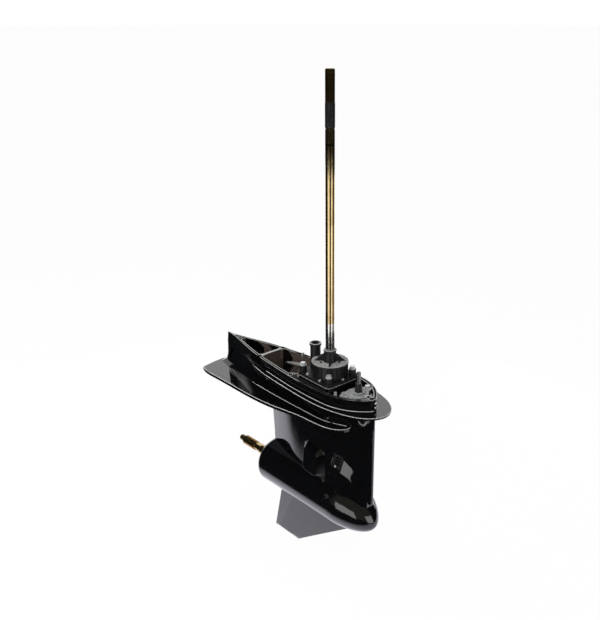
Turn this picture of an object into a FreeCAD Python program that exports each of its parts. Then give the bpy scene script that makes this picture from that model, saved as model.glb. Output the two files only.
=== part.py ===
# Outboard motor lower unit, long shaft, with its pump and its shafts, no propeller.
# +X points forward to the bow, +Y to port, +Z up. The origin is where the drive
# shaft's axis meets the machined deck that bolts to the midsection.
import FreeCAD, Part
import math
import os
import re
import Sketcher
from FreeCAD import Placement, Rotation, Vector

DIMENSIONS = {
    # drive shaft
    "shaft_radius": 9.5, "shaft_top": 646.0, "shaft_spline_length": 62.0, "spline_depth": 1.1,
    "journal_radius": 11.0, "journal_top": -18.0, "pinion_seat_radius": 9.0, "nut_thread_radius": 6.5,
    "groove_top": 536.0, "groove_width": 3.0, "groove_depth": 0.7, "land_radius": 9.85,
    # deck and upper casing
    "tub_nose": 135.0, "tub_tail": 376.0, "tub_half": 59.2, "rim_width": 8.5, "tub_depth": 71.0,
    "root_nose": 137.0, "root_tail": 381.0, "band_tail": 380.0, "root_half": 50.0,
    "splash_top": -24.5, "splash_thickness": 4.6, "splash_nose": 167.0, "splash_tail": 275.0,
    "splash_half": 72.0,
    "plate_thickness": 7.5, "plate_tail": 385.0, "plate_nose": 97.0, "plate_half": 90.0,
    "cavity_depth": 58.0, "cavity_front": 72.0, "cavity_rear": 312.0, "rib_place": 203.0,
    "rib_thickness": 7.0, "recess_depth": 8.0, "recess_rear": 47.0,
    # strut, torpedo and skeg
    "strut_nose": 136.0, "strut_tail": 200.0, "strut_half": 35.0, "strut_foot_half": 27.0,
    "prop_drop": 283.0, "torpedo_radius": 56.0, "torpedo_tail": 204.0, "torpedo_nose": 145.0,
    "torpedo_lip": 16.0, "nose_shoulder": 46.0, "nose_droop": 18.0,
    "strut_wall": 6.0, "relief_radius": 5.5, "relief_height": 25.0, "relief_place": 349.0, "relief_middle": 47.0,
    "bulge_half": 44.0, "intake_length": 28.0, "intake_rise": 27.0, "intake_plate": 3.0, "intake_rear": 42.0,
    "intake_out": 34.0, "intake_low": 181.5,
    "skeg_depth": 477.0, "skeg_half": 6.5, "skeg_edge_half": 1.6, "skeg_tail": 203.0,
    "skeg_tip_nose": 114.0, "skeg_root_nose": 95.0, "skeg_root_tail": 168.0, "skeg_bevel": 8.0,
    # bores of the casing
    "annulus_radius": 48.0, "chamber_radius": 46.0, "chamber_rear": -62.0, "chamber_front": 29.5,
    "cup_radius": 33.0, "cup_front": 50.0, "shaft_bore": 14.0, "pinion_bay_radius": 27.0,
    "pinion_bay_height": 57.0, "lower_bearing_seat": 26.0, "lower_bearing_radius": 18.0,
    "upper_bearing_radius": 27.0, "upper_bearing_foot": -46.0, "seal_flange_radius": 34.0,
    "exhaust_front": 74.0, "exhaust_rear": 150.0,
    # bevel gears and the jaw clutch between them
    "gear_module": 3.0, "pinion_teeth": 14.0, "gear_teeth": 28.0, "face_width": 12.0,
    "tooth_backlash": 0.34, "gear_hub_radius": 18.0, "gear_bore": 14.6, "gear_length": 29.0,
    "jaw_inner": 13.6, "jaw_outer": 20.6, "jaw_width": 4.8, "jaw_height": 4.0, "jaw_gap": 1.5,
    "dog_radius": 21.5, "dog_half": 7.0, "clutch_travel": 4.5,
    # propeller shaft
    "prop_radius": 12.5, "prop_front": 47.0, "prop_tip": 338.0, "prop_spline_radius": 9.6,
    "prop_spline_front": 272.0, "prop_spline_rear": 320.0, "prop_thread_radius": 7.0,
    "slider_radius": 6.0, "slider_bore_end": 24.0, "pin_radius": 3.0, "run_clearance": 0.05,
    # shift gear
    "shift_place": 88.0, "shift_radius": 5.0, "shift_top": 47.0, "shift_head_radius": 4.6, "cam_offset": 7.0,
    "cam_radius": 11.0, "cam_pin_radius": 2.5, "follower_radius": 12.0, "knob_radius": 4.6,
    "neck_radius": 2.8, "slide_gap": 0.3,
    # bearing carrier
    "carrier_rear": -198.0, "carrier_hub": 23.0, "carrier_wall": 6.0, "carrier_ring_inner": 42.0,
    "ball_outer": 36.0, "ball_front": -30.0, "ball_width": 16.0,
    # water pump
    "pad_height": 4.0, "gasket_thickness": 0.8, "pump_plate": 1.6, "bolt_front": 34.0,
    "bolt_front_half": 34.5, "bolt_rear": 53.0, "bolt_rear_half": 31.0, "flange_radius": 11.0,
    "flange_thickness": 6.0, "pump_body_radius": 36.0, "disc_radius": 40.0, "disc_top": 44.2,
    "disc_thickness": 4.0, "collar_top": 70.6, "collar_radius": 13.0, "collar_lip_radius": 14.2,
    "boss_top": 25.5, "boss_radius": 8.0, "tube_place": 47.0, "tube_radius": 11.4,
    "tube_lip_radius": 13.2, "tube_top": 71.6, "tube_bore": 7.6, "cup_offset": 2.0,
    "pump_cup_radius": 28.2, "pump_cup_wall": 1.2, "pump_cup_top": 33.0, "impeller_radius": 24.4,
    "impeller_hub": 14.5, "impeller_height": 22.0,
    # shift cover and fasteners
    "cover_radius": 25.0, "cover_thickness": 5.0, "cover_hub": 13.0, "cover_ear_radius": 9.5, "boot_radius": 8.4,
    "boot_top": 21.0, "screw_radius": 3.0, "head_radius": 6.0, "head_height": 5.0,
    "washer_radius": 7.4, "washer_thickness": 1.2, "stud_hole": 4.3, "stud_depth": 22.0,
    "dowel_radius": 3.0, "dowel_seat_radius": 3.5, "dowel_depth": 9.0, "dowel_height": 5.0, "nose_hole": 117.0, "nose_boss_radius": 7.5,
    "plug_radius": 5.5,
}

doc = FreeCAD.newDocument("LowerUnit")
sheet = doc.addObject("Spreadsheet::Sheet", "Size")
for line, (alias, number) in enumerate(DIMENSIONS.items(), start=1):
    sheet.set("A%d" % line, alias)
    sheet.set("B%d" % line, str(number))
    sheet.setAlias("B%d" % line, alias)
doc.recompute()

ALIAS = re.compile(r"[a-z]+(?:_[a-z]+)+")
nodes = []


def sized(text):
    """Write the aliases of an expression the way that cells are named in it."""
    return ALIAS.sub(lambda word: "Size." + word.group(0), str(text))


def value(text):
    return float(sheet.evalExpression(sized(text)))


def bind(item, **properties):
    for name, text in properties.items():
        item.setExpression(name, sized(text))
    return item


def place(item, x="0", y="0", z="0", turn=None):
    """Seat an item at a place given by expressions. A turn replaces the one that it has."""
    item.Placement = Placement(Vector(value(x), value(y), value(z)), turn or item.Placement.Rotation)
    for axis, text in zip("xyz", (x, y, z)):
        item.setExpression(".Placement.Base." + axis, sized(text))
    return item


def node(item, label):
    item.Label = label
    nodes.append(item)
    return item


ALONG_X = Rotation(Vector(0, 1, 0), 90)
ALONG_MINUS_X = Rotation(Vector(0, 1, 0), -90)
ALONG_Y = Rotation(Vector(1, 0, 0), -90)


def polygon(body, role, points, name="Profile"):
    """Draw a closed outline whose corners are held by expressions from the sketch's origin."""
    sketch = body.newObject("Sketcher::SketchObject", name)
    plane = [part for part in body.Origin.OriginFeatures if part.Role == role][0]
    sketch.AttachmentSupport = [(plane, "")]
    sketch.MapMode = "FlatFace"
    spots = [Vector(value(across), value(up), 0) for across, up in points]
    count = len(spots)
    for corner in range(count):
        sketch.addGeometry(Part.LineSegment(spots[corner], spots[(corner + 1) % count]), False)
    for corner in range(count):
        sketch.addConstraint(Sketcher.Constraint("Coincident", corner, 2, (corner + 1) % count, 1))
    for corner, (across, up) in enumerate(points):
        for kind, text, number in (("DistanceX", across, spots[corner].x),
                                   ("DistanceY", up, spots[corner].y)):
            held = sketch.addConstraint(Sketcher.Constraint(kind, -1, 1, corner, 1, number))
            sketch.setExpression("Constraints[%d]" % held, sized(text))
    return sketch


def turned(label, profile, **at):
    """A lathe part: a profile of radius and height pairs, turned about its own Z axis."""
    body = doc.addObject("PartDesign::Body", label)
    sketch = polygon(body, "XZ_Plane", profile)
    spin = body.newObject("PartDesign::Revolution", "Turned")
    spin.Profile = sketch
    spin.ReferenceAxis = (sketch, ["V_Axis"])
    spin.Angle = 360
    body.Tip = spin
    return place(node(body, label), **at)


def ring(inner, outer, low, high):
    return [(inner, low), (outer, low), (outer, high), (inner, high)]


def drill(body, centres, radius, low, high, name="Holes"):
    """Round holes parallel to the body's Z axis, between two heights."""
    doc.recompute()
    before = body.Shape.Volume
    sketch = body.newObject("Sketcher::SketchObject", name)
    plane = [part for part in body.Origin.OriginFeatures if part.Role == "XY_Plane"][0]
    sketch.AttachmentSupport = [(plane, "")]
    sketch.MapMode = "FlatFace"
    sketch.AttachmentOffset = Placement(Vector(0, 0, value(high)), Rotation())
    sketch.setExpression(".AttachmentOffset.Base.z", sized(high))
    for place_x, place_y in centres:
        centre = Vector(value(place_x), value(place_y), 0)
        circle = sketch.addGeometry(Part.Circle(centre, Vector(0, 0, 1), value(radius)), False)
        for kind, text, number in (("DistanceX", place_x, centre.x), ("DistanceY", place_y, centre.y)):
            held = sketch.addConstraint(Sketcher.Constraint(kind, -1, 1, circle, 3, number))
            sketch.setExpression("Constraints[%d]" % held, sized(text))
        held = sketch.addConstraint(Sketcher.Constraint("Radius", circle, value(radius)))
        sketch.setExpression("Constraints[%d]" % held, sized(radius))
    pocket = body.newObject("PartDesign::Pocket", name + "Cut")
    pocket.Profile = sketch
    bind(pocket, Length="(%s) - (%s)" % (high, low))
    body.Tip = pocket
    doc.recompute()
    if not body.Shape.Volume < before:
        raise RuntimeError(body.Label + " was not cut by " + name)
    return body


def rod(radius, length, **at):
    return place(bind(doc.addObject("Part::Cylinder", "Rod"), Radius=radius, Height=length), **at)


def block(length, width, height, **at):
    return place(bind(doc.addObject("Part::Box", "Block"), Length=length, Width=width,
                      Height=height), **at)


def fused(parts, name="Fused"):
    joined = doc.addObject("Part::MultiFuse", name)
    joined.Shapes = parts
    return joined


def cut(base, tool, name="Cut"):
    result = doc.addObject("Part::Cut", name)
    result.Base, result.Tool = base, tool
    return result


def group(parts, name="Group"):
    bundle = doc.addObject("Part::Compound", name)
    bundle.Links = parts
    return bundle


def shaped(shape, name="Form"):
    """A free form that sketches don't suit, made from the sheet's values."""
    item = doc.addObject("Part::Feature", name)
    item.Shape = shape
    return item


def extruded(face, length, name="Extruded", down=False):
    item = doc.addObject("Part::Extrusion", name)
    item.Base = shaped(face, name + "Outline")
    item.DirMode = "Custom"
    item.Dir = Vector(0, 0, -1 if down else 1)
    item.Solid = True
    return bind(item, LengthFwd=length)


def plan(points, height, close_tail):
    """A symmetric plan outline: a smooth curve from the tail round the nose and back."""
    side = [Vector(x, -y, height) for x, y in points]
    other = [Vector(x, y, height) for x, y in reversed(points[:-1])]
    curve = Part.BSplineCurve()
    curve.interpolate(side + other)
    edges = [curve.toShape()]
    if close_tail:
        edges.append(Part.makeLine(other[-1], side[0]))
    return Part.Wire(edges)


# The deck outline, as shares of its length behind and ahead of the shaft and of its half width.
DECK_SHAPE = ((-1.0, 0.0), (-0.83, 0.21), (-0.66, 0.50), (-0.4, 0.787), (-0.134, 0.968),
              (0.12, 1.0), (0.45, 0.945), (0.75, 0.66), (0.93, 0.30), (1.0, 0.0))
SPLASH_SHAPE = ((-1.0, 0.26), (-0.95, 0.36), (-0.845, 0.53), (-0.735, 0.674), (-0.542, 0.82),
                (-0.342, 0.90), (-0.05, 0.99), (0.2, 1.0), (0.49, 0.917), (0.7, 0.775), (0.84, 0.605),
                (0.925, 0.43), (0.975, 0.25), (1.0, 0.0))
PLATE_SHAPE = ((-0.97, 0.90), (-0.94, 0.945), (-0.81, 0.985), (-0.44, 1.0), (-0.247, 0.938),
               (-0.047, 0.80), (0.44, 0.755), (0.75, 0.655), (0.93, 0.47), (0.96, 0.33),
               (0.90, 0.20))
LOWER_TOP = ((-1.0, 0.0), (-0.81, 0.28), (-0.65, 0.62), (-0.39, 0.90), (-0.13, 0.99), (0.15, 1.0),
             (0.44, 0.80), (0.66, 0.52), (0.87, 0.27), (0.97, 0.10), (1.0, 0.0))
LOWER_FOOT = ((-1.0, 0.0), (-0.98, 0.22), (-0.8, 0.6), (-0.645, 0.81), (-0.5, 0.93), (-0.05, 1.0),
              (0.29, 0.92), (0.62, 0.57), (0.85, 0.30), (0.97, 0.10), (1.0, 0.0))
FOIL_SHAPE = ((-1.0, 0.10), (-0.86, 0.36), (-0.55, 0.78), (-0.2, 0.97), (0.15, 1.0), (0.45, 0.88),
              (0.72, 0.60), (0.92, 0.29), (0.985, 0.13), (1.0, 0.0))


# The tail shoulder's outline at its foot and at its top: places behind the shaft and half widths.
SHOULDER_FOOT = ((200, 37), (250, 38), (330, 38), (374, 27), (383, 8))
SHOULDER_TOP = ((200, 34), (250, 28), (330, 15), (362, 7), (372, 2))


def scaled(shape, tail, nose, half):
    return [((tail if x < 0 else nose) * x, half * y) for x, y in shape]


def deck_wire(inset, height):
    points = scaled(DECK_SHAPE, value("tub_tail") - 2.2 * inset, value("tub_nose") - inset,
                    value("tub_half") - inset)
    return plan(points, height, False)


def upper_casing():
    """The tub under the deck, lofted from the deck outline to its root on the lower plate."""
    band_foot = value("splash_top - splash_thickness")
    band = scaled(DECK_SHAPE, value("band_tail"), value("root_nose"), value("tub_half") - 1.5)
    waist = scaled(LOWER_TOP, value("band_tail") - 1.0, value("root_nose"), value("root_half"))
    root = scaled(LOWER_FOOT, value("root_tail"), value("root_nose"), value("root_half"))
    tubs = []
    for upper, lower in ((deck_wire(0.0, 0.0), plan(band, band_foot, False)),
                         (plan(waist, band_foot + 1.0, False), plan(root, -value("tub_depth") - 1.0, False))):
        tub = doc.addObject("Part::Loft", "Tub")
        tub.Sections = [shaped(upper, "UpperOutline"), shaped(lower, "LowerOutline")]
        tub.Solid = True
        tubs.append(tub)
    splash = scaled(SPLASH_SHAPE, value("splash_tail"), value("splash_nose"), value("splash_half"))
    splash_plate = extruded(Part.Face(plan(splash, value("splash_top"), True)), "splash_thickness",
                            "SplashPlate", down=True)
    lower = scaled(PLATE_SHAPE, value("plate_tail"), value("plate_nose"), value("plate_half"))
    side = [Vector(x, -y, -value("tub_depth")) for x, y in lower]
    other = [Vector(x, y, -value("tub_depth")) for x, y in reversed(lower)]
    edges = []
    for run in (side, other):
        curve = Part.BSplineCurve()
        curve.interpolate(run)
        edges.append(curve.toShape())
    edges.append(Part.makeLine(side[-1], other[0]))
    stern = Vector(-value("plate_tail"), 0, -value("tub_depth"))
    edges.append(Part.Arc(other[-1], stern, side[0]).toShape())
    wire = Part.Wire(Part.__sortEdges__(edges))
    lower_plate = extruded(Part.Face(wire), "plate_thickness", "LowerPlate", down=True)
    return tubs + [splash_plate, lower_plate, tail_shoulder()]


def tail_shoulder():
    """The sloping shoulder between the tub's flanks and the lower plate at the tail."""
    sections = []
    for height, outline in ((-1.0, SHOULDER_FOOT), (11.0, SHOULDER_TOP)):
        side = [Vector(-x, -y, height - value("tub_depth")) for x, y in outline]
        other = [Vector(-x, y, height - value("tub_depth")) for x, y in reversed(outline)]
        sections.append(shaped(Part.makePolygon(side + other + side[:1]), "ShoulderSection"))
    shoulder = doc.addObject("Part::Loft", "TailShoulder")
    shoulder.Sections = sections
    shoulder.Solid = True
    shoulder.Ruled = True
    return shoulder


def foil_half(x, height):
    """Half the strut's thickness at a place along it and a height."""
    share = x / value("strut_nose") if x > 0 else x / value("strut_tail")
    for (near, thin), (far, thick) in zip(FOIL_SHAPE, FOIL_SHAPE[1:]):
        if near <= share <= far:
            width = thin + (thick - thin) * (share - near) / (far - near)
    fall = (-value("tub_depth") - height) / value("prop_drop - 30 - tub_depth")
    return width * (value("strut_half") + fall * value("strut_foot_half - strut_half"))


def exhaust_way():
    """The passage inside the strut, from the deck chamber down to the ring round the carrier."""
    sections = []
    for height in (-value("cavity_depth") + 1, -value("prop_drop") + 30):
        rear, front = -value("exhaust_rear"), -value("exhaust_front")
        low = min(height, -value("tub_depth"))
        corners = [(rear, foil_half(rear, low)), (front, foil_half(front, low))]
        corners = [(x, half - value("strut_wall")) for x, half in corners]
        spots = [Vector(x, y, height) for x, y in corners]
        spots += [Vector(x, -y, height) for x, y in reversed(corners)]
        sections.append(shaped(Part.makePolygon(spots + spots[:1]), "WaySection"))
    way = doc.addObject("Part::Loft", "ExhaustWay")
    way.Sections = sections
    way.Solid = True
    way.Ruled = True
    return way


def relief_slot():
    """The idle exhaust outlet: an upright recess in each side of the tail, fed from the chamber."""
    radius = "relief_radius"
    at = {"x": "-relief_place", "y": "-60", "turn": ALONG_Y}
    low, high = "-relief_middle - relief_height / 2 + " + radius, "-relief_middle + relief_height / 2 - " + radius
    web = block("2 * " + radius, "120", "(%s) - (%s)" % (high, low), x="-relief_place - " + radius, y="-60", z=low)
    through = fused([rod(radius, "120", z=low, **at), rod(radius, "120", z=high, **at), web], "ThroughSlot")
    middle_wall = block("4 * " + radius, "6", "2 * relief_height", x="-relief_place - 2 * " + radius, y="-3",
                        z="-relief_middle - relief_height")
    duct = block("relief_place - cavity_rear - 2", "8", "10", x="-relief_place + 3", y="-4", z="-relief_middle - 5")
    return fused([cut(through, middle_wall, "Recesses"), duct], "ReliefSlot")


# Each section of an intake shoulder: its place along the strut, half width and height over the
# propeller shaft where it leaves the strut, its outer half width, and the fall between the two.
FAIRING_SECTIONS = ((38, 24, 133, 38, 34), (72, 22, 130, 36.5, 34), (90, 17, 121, 28, 36),
                    (108, 11, 86, 20, 22), (128, 4, 45, 9, 12))


def intake_fairings():
    """The faired shoulder on each side that carries the water intake down to the nose."""
    fairings = []
    for side in (-1, 1):
        sections = []
        for x, inner, top, outer, drop in FAIRING_SECTIONS:
            points = [(inner, top), (outer, top - drop), (outer, 21), (0.5, 21), (0.5, top)]
            spots = [Vector(x, side * y, z - value("prop_drop")) for y, z in points]
            sections.append(shaped(Part.makePolygon(spots + spots[:1]), "FairingSection"))
        fairing = doc.addObject("Part::Loft", "Fairing")
        fairing.Sections = sections
        fairing.Solid = True
        fairing.Ruled = True
        fairings.append(fairing)
    return fairings


def gear_bulges():
    """The swelling on each side that clears the pinion and its bearing."""
    bulges = []
    for side in (-1, 1):
        outline = rounded(120, 134, 46)
        outline.rotate(Vector(), Vector(1, 0, 0), 90)
        outline.rotate(Vector(), Vector(0, 1, 0), 5)
        outline.translate(Vector(-79, 0, 92 - value("prop_drop")))
        bulge = doc.addObject("Part::Extrusion", "Bulge")
        bulge.Base = shaped(outline, "BulgeOutline")
        bulge.DirMode = "Custom"
        bulge.Dir = Vector(0, side, 0)
        bulge.Solid = True
        bulge.TaperAngle = -40
        bulges.append(bind(bulge, LengthFwd="bulge_half"))
    return bulges


def intake_turn(side):
    """A frame on the intake's sloping face: X along it, Y up the slope, Z outward."""
    tilt = Rotation(Vector(1, 0, 0), 66.4)
    return tilt if side < 0 else Rotation(Vector(0, 0, 1), 180).multiply(tilt)


def intake_base(side):
    """The lower rear corner of the intake plate for one side."""
    x = "intake_rear" if side < 0 else "intake_rear + intake_length"
    return {"x": x, "y": "%s(intake_out)" % ("-" if side < 0 else ""), "z": "-intake_low", "turn": intake_turn(side)}


def intake_pockets():
    pockets = []
    for side in (-1, 1):
        seat = block("intake_length", "intake_rise", "12")
        tapping = rod("1.6", "6", x="intake_length / 2", y="2.6", z="-5")
        duct = block("intake_length - 10", "14", "16", x="intake_rear + 5", y="17" if side > 0 else "-31",
                     z="-intake_low + 6")
        pockets += [place(fused([seat, tapping], "IntakeSeat"), **intake_base(side)), duct]
    return pockets


def strut():
    """The hollow foil between the plates and the torpedo, thinner towards its foot."""
    sections = []
    for height, half, tail in (("-tub_depth + 1", "strut_half", 4.0), ("-prop_drop + 30", "strut_foot_half", -8.0)):
        points = scaled(FOIL_SHAPE, value("strut_tail") + tail, value("strut_nose"), value(half))
        sections.append(shaped(plan(points, value(height), True), "StrutSection"))
    foil = doc.addObject("Part::Loft", "Strut")
    foil.Sections = sections
    foil.Solid = True
    foil.Ruled = True
    return foil


def torpedo():
    """The round gear housing with its rounded rear lip and a blunt nose that droops."""
    radius, tail, shoulder = value("torpedo_radius"), -value("torpedo_tail"), value("nose_shoulder")
    lip = value("torpedo_lip")
    rear = Part.Arc(Vector(tail, 0, radius - lip * 0.55), Vector(tail + lip * 0.3, 0, radius - lip * 0.16),
                    Vector(tail + lip, 0, radius))
    edges = [Part.makeLine(Vector(tail, 0, 0), Vector(tail, 0, radius - lip * 0.55)), rear.toShape(),
             Part.makeLine(Vector(tail + lip, 0, radius), Vector(shoulder, 0, radius)),
             Part.makeLine(Vector(shoulder, 0, radius), Vector(shoulder, 0, 0)),
             Part.makeLine(Vector(shoulder, 0, 0), Vector(tail, 0, 0))]
    body = doc.addObject("Part::Revolution", "Torpedo")
    body.Source = shaped(Part.Face(Part.Wire(edges)), "TorpedoOutline")
    body.Axis = Vector(1, 0, 0)
    body.Angle = 360
    body.Solid = True
    sections = []
    for share in (0.0, 0.12, 0.26, 0.4, 0.54, 0.67, 0.78, 0.87, 0.94, 0.98, 0.996):
        size = radius * (1 - share ** 1.79) ** 0.555
        centre = Vector(shoulder + share * (value("torpedo_nose") - shoulder), 0,
                        -value("prop_drop") - share ** 2 * value("nose_droop"))
        sections.append(shaped(Part.Wire(Part.Circle(centre, Vector(1, 0, 0), size).toShape()), "NoseSection"))
    nose = doc.addObject("Part::Loft", "TorpedoNose")
    nose.Sections = sections
    nose.Solid = True
    return [place(body, z="-prop_drop"), nose]


def skeg():
    """The flat keel blade, raked aft, with a bevelled lower edge."""
    def section(height, nose, tail, half):
        edge = value("skeg_edge_half") * half / value("skeg_half")
        span = nose + tail
        points = [(-tail, edge), (-tail + 0.22 * span, half), (nose - 0.3 * span, half), (nose, edge)]
        spots = [Vector(x, y, height) for x, y in points] + [Vector(x, -y, height) for x, y in reversed(points)]
        return shaped(Part.makePolygon(spots + spots[:1]), "SkegSection")
    root, tip = -value("prop_drop") - 0.75 * value("torpedo_radius"), -value("skeg_depth")
    rise = value("skeg_bevel") / (root - tip)
    nose_root, nose_tip = value("skeg_root_nose") + 5.0, -value("skeg_tip_nose")
    tail_root, tail_tip = value("skeg_root_tail"), value("skeg_tail")
    knee = [tip + value("skeg_bevel"), nose_tip + rise * (nose_root - nose_tip),
            tail_tip + rise * (tail_root - tail_tip)]
    blade = doc.addObject("Part::Loft", "Skeg")
    blade.Sections = [section(root, nose_root, tail_root, value("skeg_half")),
                      section(*knee, 0.62 * value("skeg_half")),
                      section(tip, nose_tip, tail_tip, 0.2 * value("skeg_half"))]
    blade.Solid = True
    blade.Ruled = True
    return blade


def deck_cavity(front, rear):
    """One chamber of the exhaust cavity, between two places along the deck."""
    inner = Part.Face(deck_wire(value("rim_width"), 0.0)).extrude(Vector(0, 0, -value("cavity_depth")))
    length, half, depth = rear - front, value("tub_half"), value("cavity_depth")
    slab = Part.makeBox(length, 2 * half, depth + 2, Vector(-rear, -half, -depth - 1))
    chamber = inner.common(slab)
    lid = chamber.copy()
    lid.translate(Vector(0, 0, 1))
    return shaped(chamber.fuse(lid).removeSplitter(), "DeckChamber")


def cover_ears(grow):
    """The shift cover's plan outline through its screws, at its seat, grown by a gap."""
    eyes = [Vector(value(x), value(y), -value("recess_depth")) for x, y in COVER_SCREWS]
    eyes.append(Vector(value("shift_place") + 8, 0, -value("recess_depth")))
    return Part.Face(Part.makePolygon(eyes + eyes[:1]).makeOffset2D(value("cover_ear_radius") + grow))


def front_recess():
    inner = Part.Face(deck_wire(value("rim_width"), 1.0))
    inner = inner.extrude(Vector(0, 0, -value("recess_depth") - 1.0))
    reach = value("tub_nose")
    slab = Part.makeBox(reach, 2 * reach, 40, Vector(value("recess_rear"), -reach, -20))
    ears = cover_ears(value("slide_gap")).extrude(Vector(0, 0, value("recess_depth") + 1.0))
    return shaped(inner.common(slab).fuse(ears), "CoverRecess")


def casing_bores():
    """Everything that is cut out of the casing, from the deck and from the rear."""
    middle = "rib_place"
    half_rib = value("rib_thickness") / 2
    return [
        deck_cavity(value("cavity_front"), value(middle) - half_rib),
        deck_cavity(value(middle) + half_rib, value("cavity_rear")),
        front_recess(),
        rod("seal_flange_radius", "pad_height + 1"),
        rod("upper_bearing_radius", "-upper_bearing_foot + 1", z="upper_bearing_foot"),
        rod("shaft_bore", "prop_drop", z="-prop_drop"),
        rod("lower_bearing_radius", "lower_bearing_seat", z="pinion_bay_height - prop_drop"),
        rod("pinion_bay_radius", "pinion_bay_height", z="-prop_drop"),
        rod("annulus_radius", "torpedo_tail + chamber_rear + 1", x="-torpedo_tail - 1",
            z="-prop_drop", turn=ALONG_X),
        rod("chamber_radius", "chamber_front - chamber_rear + 1", x="chamber_rear - 1",
            z="-prop_drop", turn=ALONG_X),
        rod("cup_radius", "cup_front - chamber_front + 1", x="chamber_front - 1", z="-prop_drop",
            turn=ALONG_X),
        rod("follower_radius + run_clearance", "60", x="cup_front - 1", z="-prop_drop", turn=ALONG_X),
        rod("cam_radius + 1", "30", x="shift_place", z="-prop_drop"),
        rod("shift_radius + run_clearance", "prop_drop", x="shift_place", z="-prop_drop + 1"),
        exhaust_way(),
        relief_slot(),
    ] + intake_pockets()


RIM_HOLES = (("-203", "34"), ("-77", "47.5"), ("40", "47"))


def rim_bosses():
    bosses = [rod("7", "stud_depth + 4", x=x, y=sign + "(%s - 4)" % y, z="-stud_depth - 4")
              for x, y in RIM_HOLES[:2] for sign in "+-"]
    bosses.append(rod("6.5", "stud_depth + 4", x="-322", z="-stud_depth - 4"))
    bosses.append(rod("nose_boss_radius", "recess_depth + 1", x="nose_hole", z="-recess_depth - 1"))
    bosses.append(block("tub_nose - nose_hole - 3", "12", "recess_depth + 1", x="nose_hole", y="-6",
                        z="-recess_depth - 1"))
    bosses.append(rod("5", "-splash_top - 4", x="tub_nose - 1", z="splash_top + 1"))
    return bosses


def rim_holes():
    holes = [rod("stud_hole", "stud_depth + 1", x=x, y=sign + y, z="-stud_depth")
             for x, y in RIM_HOLES for sign in "+-"]
    holes.append(rod("stud_hole", "stud_depth + 1", x="-326", z="-stud_depth"))
    holes.append(rod("stud_hole", "stud_depth + 1", x="nose_hole", z="-stud_depth"))
    return holes


def pump_face(grow="0"):
    """The pump flange's outline: four bolt eyes joined by straight sides."""
    spots = [Vector(x, y, 0) for x, y in (
        (value("bolt_front"), -value("bolt_front_half")), (value("bolt_front"), value("bolt_front_half")),
        (-value("bolt_rear"), value("bolt_rear_half")), (-value("bolt_rear"), -value("bolt_rear_half")))]
    wire = Part.makePolygon(spots + spots[:1])
    return Part.Face(wire.makeOffset2D(value("flange_radius") + value(grow)))


PUMP_BOLTS = [(x, sign + y) for x, y in (("bolt_front", "bolt_front_half"), ("-bolt_rear", "bolt_rear_half"))
              for sign in "+-"]
COVER_SCREWS = (("73", "-27"), ("82", "33"))
PUMP_DOWELS = [("-10", "38"), ("-10", "-38")]
DECK_DOWELS = [("62", "-42"), ("-140", "43.5")]
OIL_PLUGS = (("drain_plug", "42.4", "-49.2", "-prop_drop + 28.4", 60.0),
             ("level_plug", "40", "-46.5", "-62", 90.0))


def gearcase_housing():
    """The main casting. It holds both shafts, the gears, the exhaust way and the pump's seat."""
    pad = place(extruded(pump_face(), "pad_height + 30", "PumpPad"), z="-30")
    boss = cut(rod("14.5", "38", x="116", y="-19", z="-46", turn=ALONG_Y),
               fused([rod("11", "5", x="116", y=y, z="-46", turn=ALONG_Y) for y in ("-20", "15")], "BossDish"))
    outside = fused(upper_casing() + torpedo() + [strut(), skeg(), boss] + intake_fairings() + gear_bulges(), "Outside")
    hollowed = cut(outside, fused(casing_bores(), "Bores"), "Hollowed")
    padded = fused([hollowed, cut(pad, fused([rod("seal_flange_radius", "pad_height + 1"),
                                              rod("upper_bearing_radius", "40", z="-30.5")], "PadBore"),
                                  "PumpSeat")] + rim_bosses(), "Bossed")
    screws = [rod("screw_radius", "30", x=x, y=y, z="-25") for x, y in PUMP_BOLTS]
    screws += [rod("screw_radius", "30", x=x, y=y, z="-25") for x, y in COVER_SCREWS]
    pegs = [rod("2.5", "20", x=x, y=y, z="-5") for x, y in PUMP_DOWELS]
    pegs += [rod("dowel_seat_radius", "dowel_depth + 6", x=x, y=y, z="-dowel_depth") for x, y in DECK_DOWELS]
    for _, x, y, z, angle in OIL_PLUGS:
        across, up = math.sin(math.radians(angle)), math.cos(math.radians(angle))
        lean = Rotation(Vector(1, 0, 0), angle)
        pegs.append(rod("4", "20", x=x, y="%s + %.4f" % (y, 10 * across), z="%s - %.4f" % (z, 10 * up), turn=lean))
        pegs.append(rod("plug_radius + 0.6", "9", x=x, y=y, z=z, turn=lean))
    casing = cut(padded, fused(rim_holes() + screws + pegs, "ScrewHoles"), "GearcaseHousing")
    return node(casing, "gearcase_housing")


def rounded(length, width, radius):
    """A rounded rectangle with one corner region at the origin, as a face."""
    wire = Part.makePolygon([Vector(x, y, 0) for x, y in (
        (radius, radius - width / 2), (length - radius, radius - width / 2),
        (length - radius, width / 2 - radius), (radius, width / 2 - radius), (radius, radius - width / 2))])
    return Part.Face(wire.makeOffset2D(radius))


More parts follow.
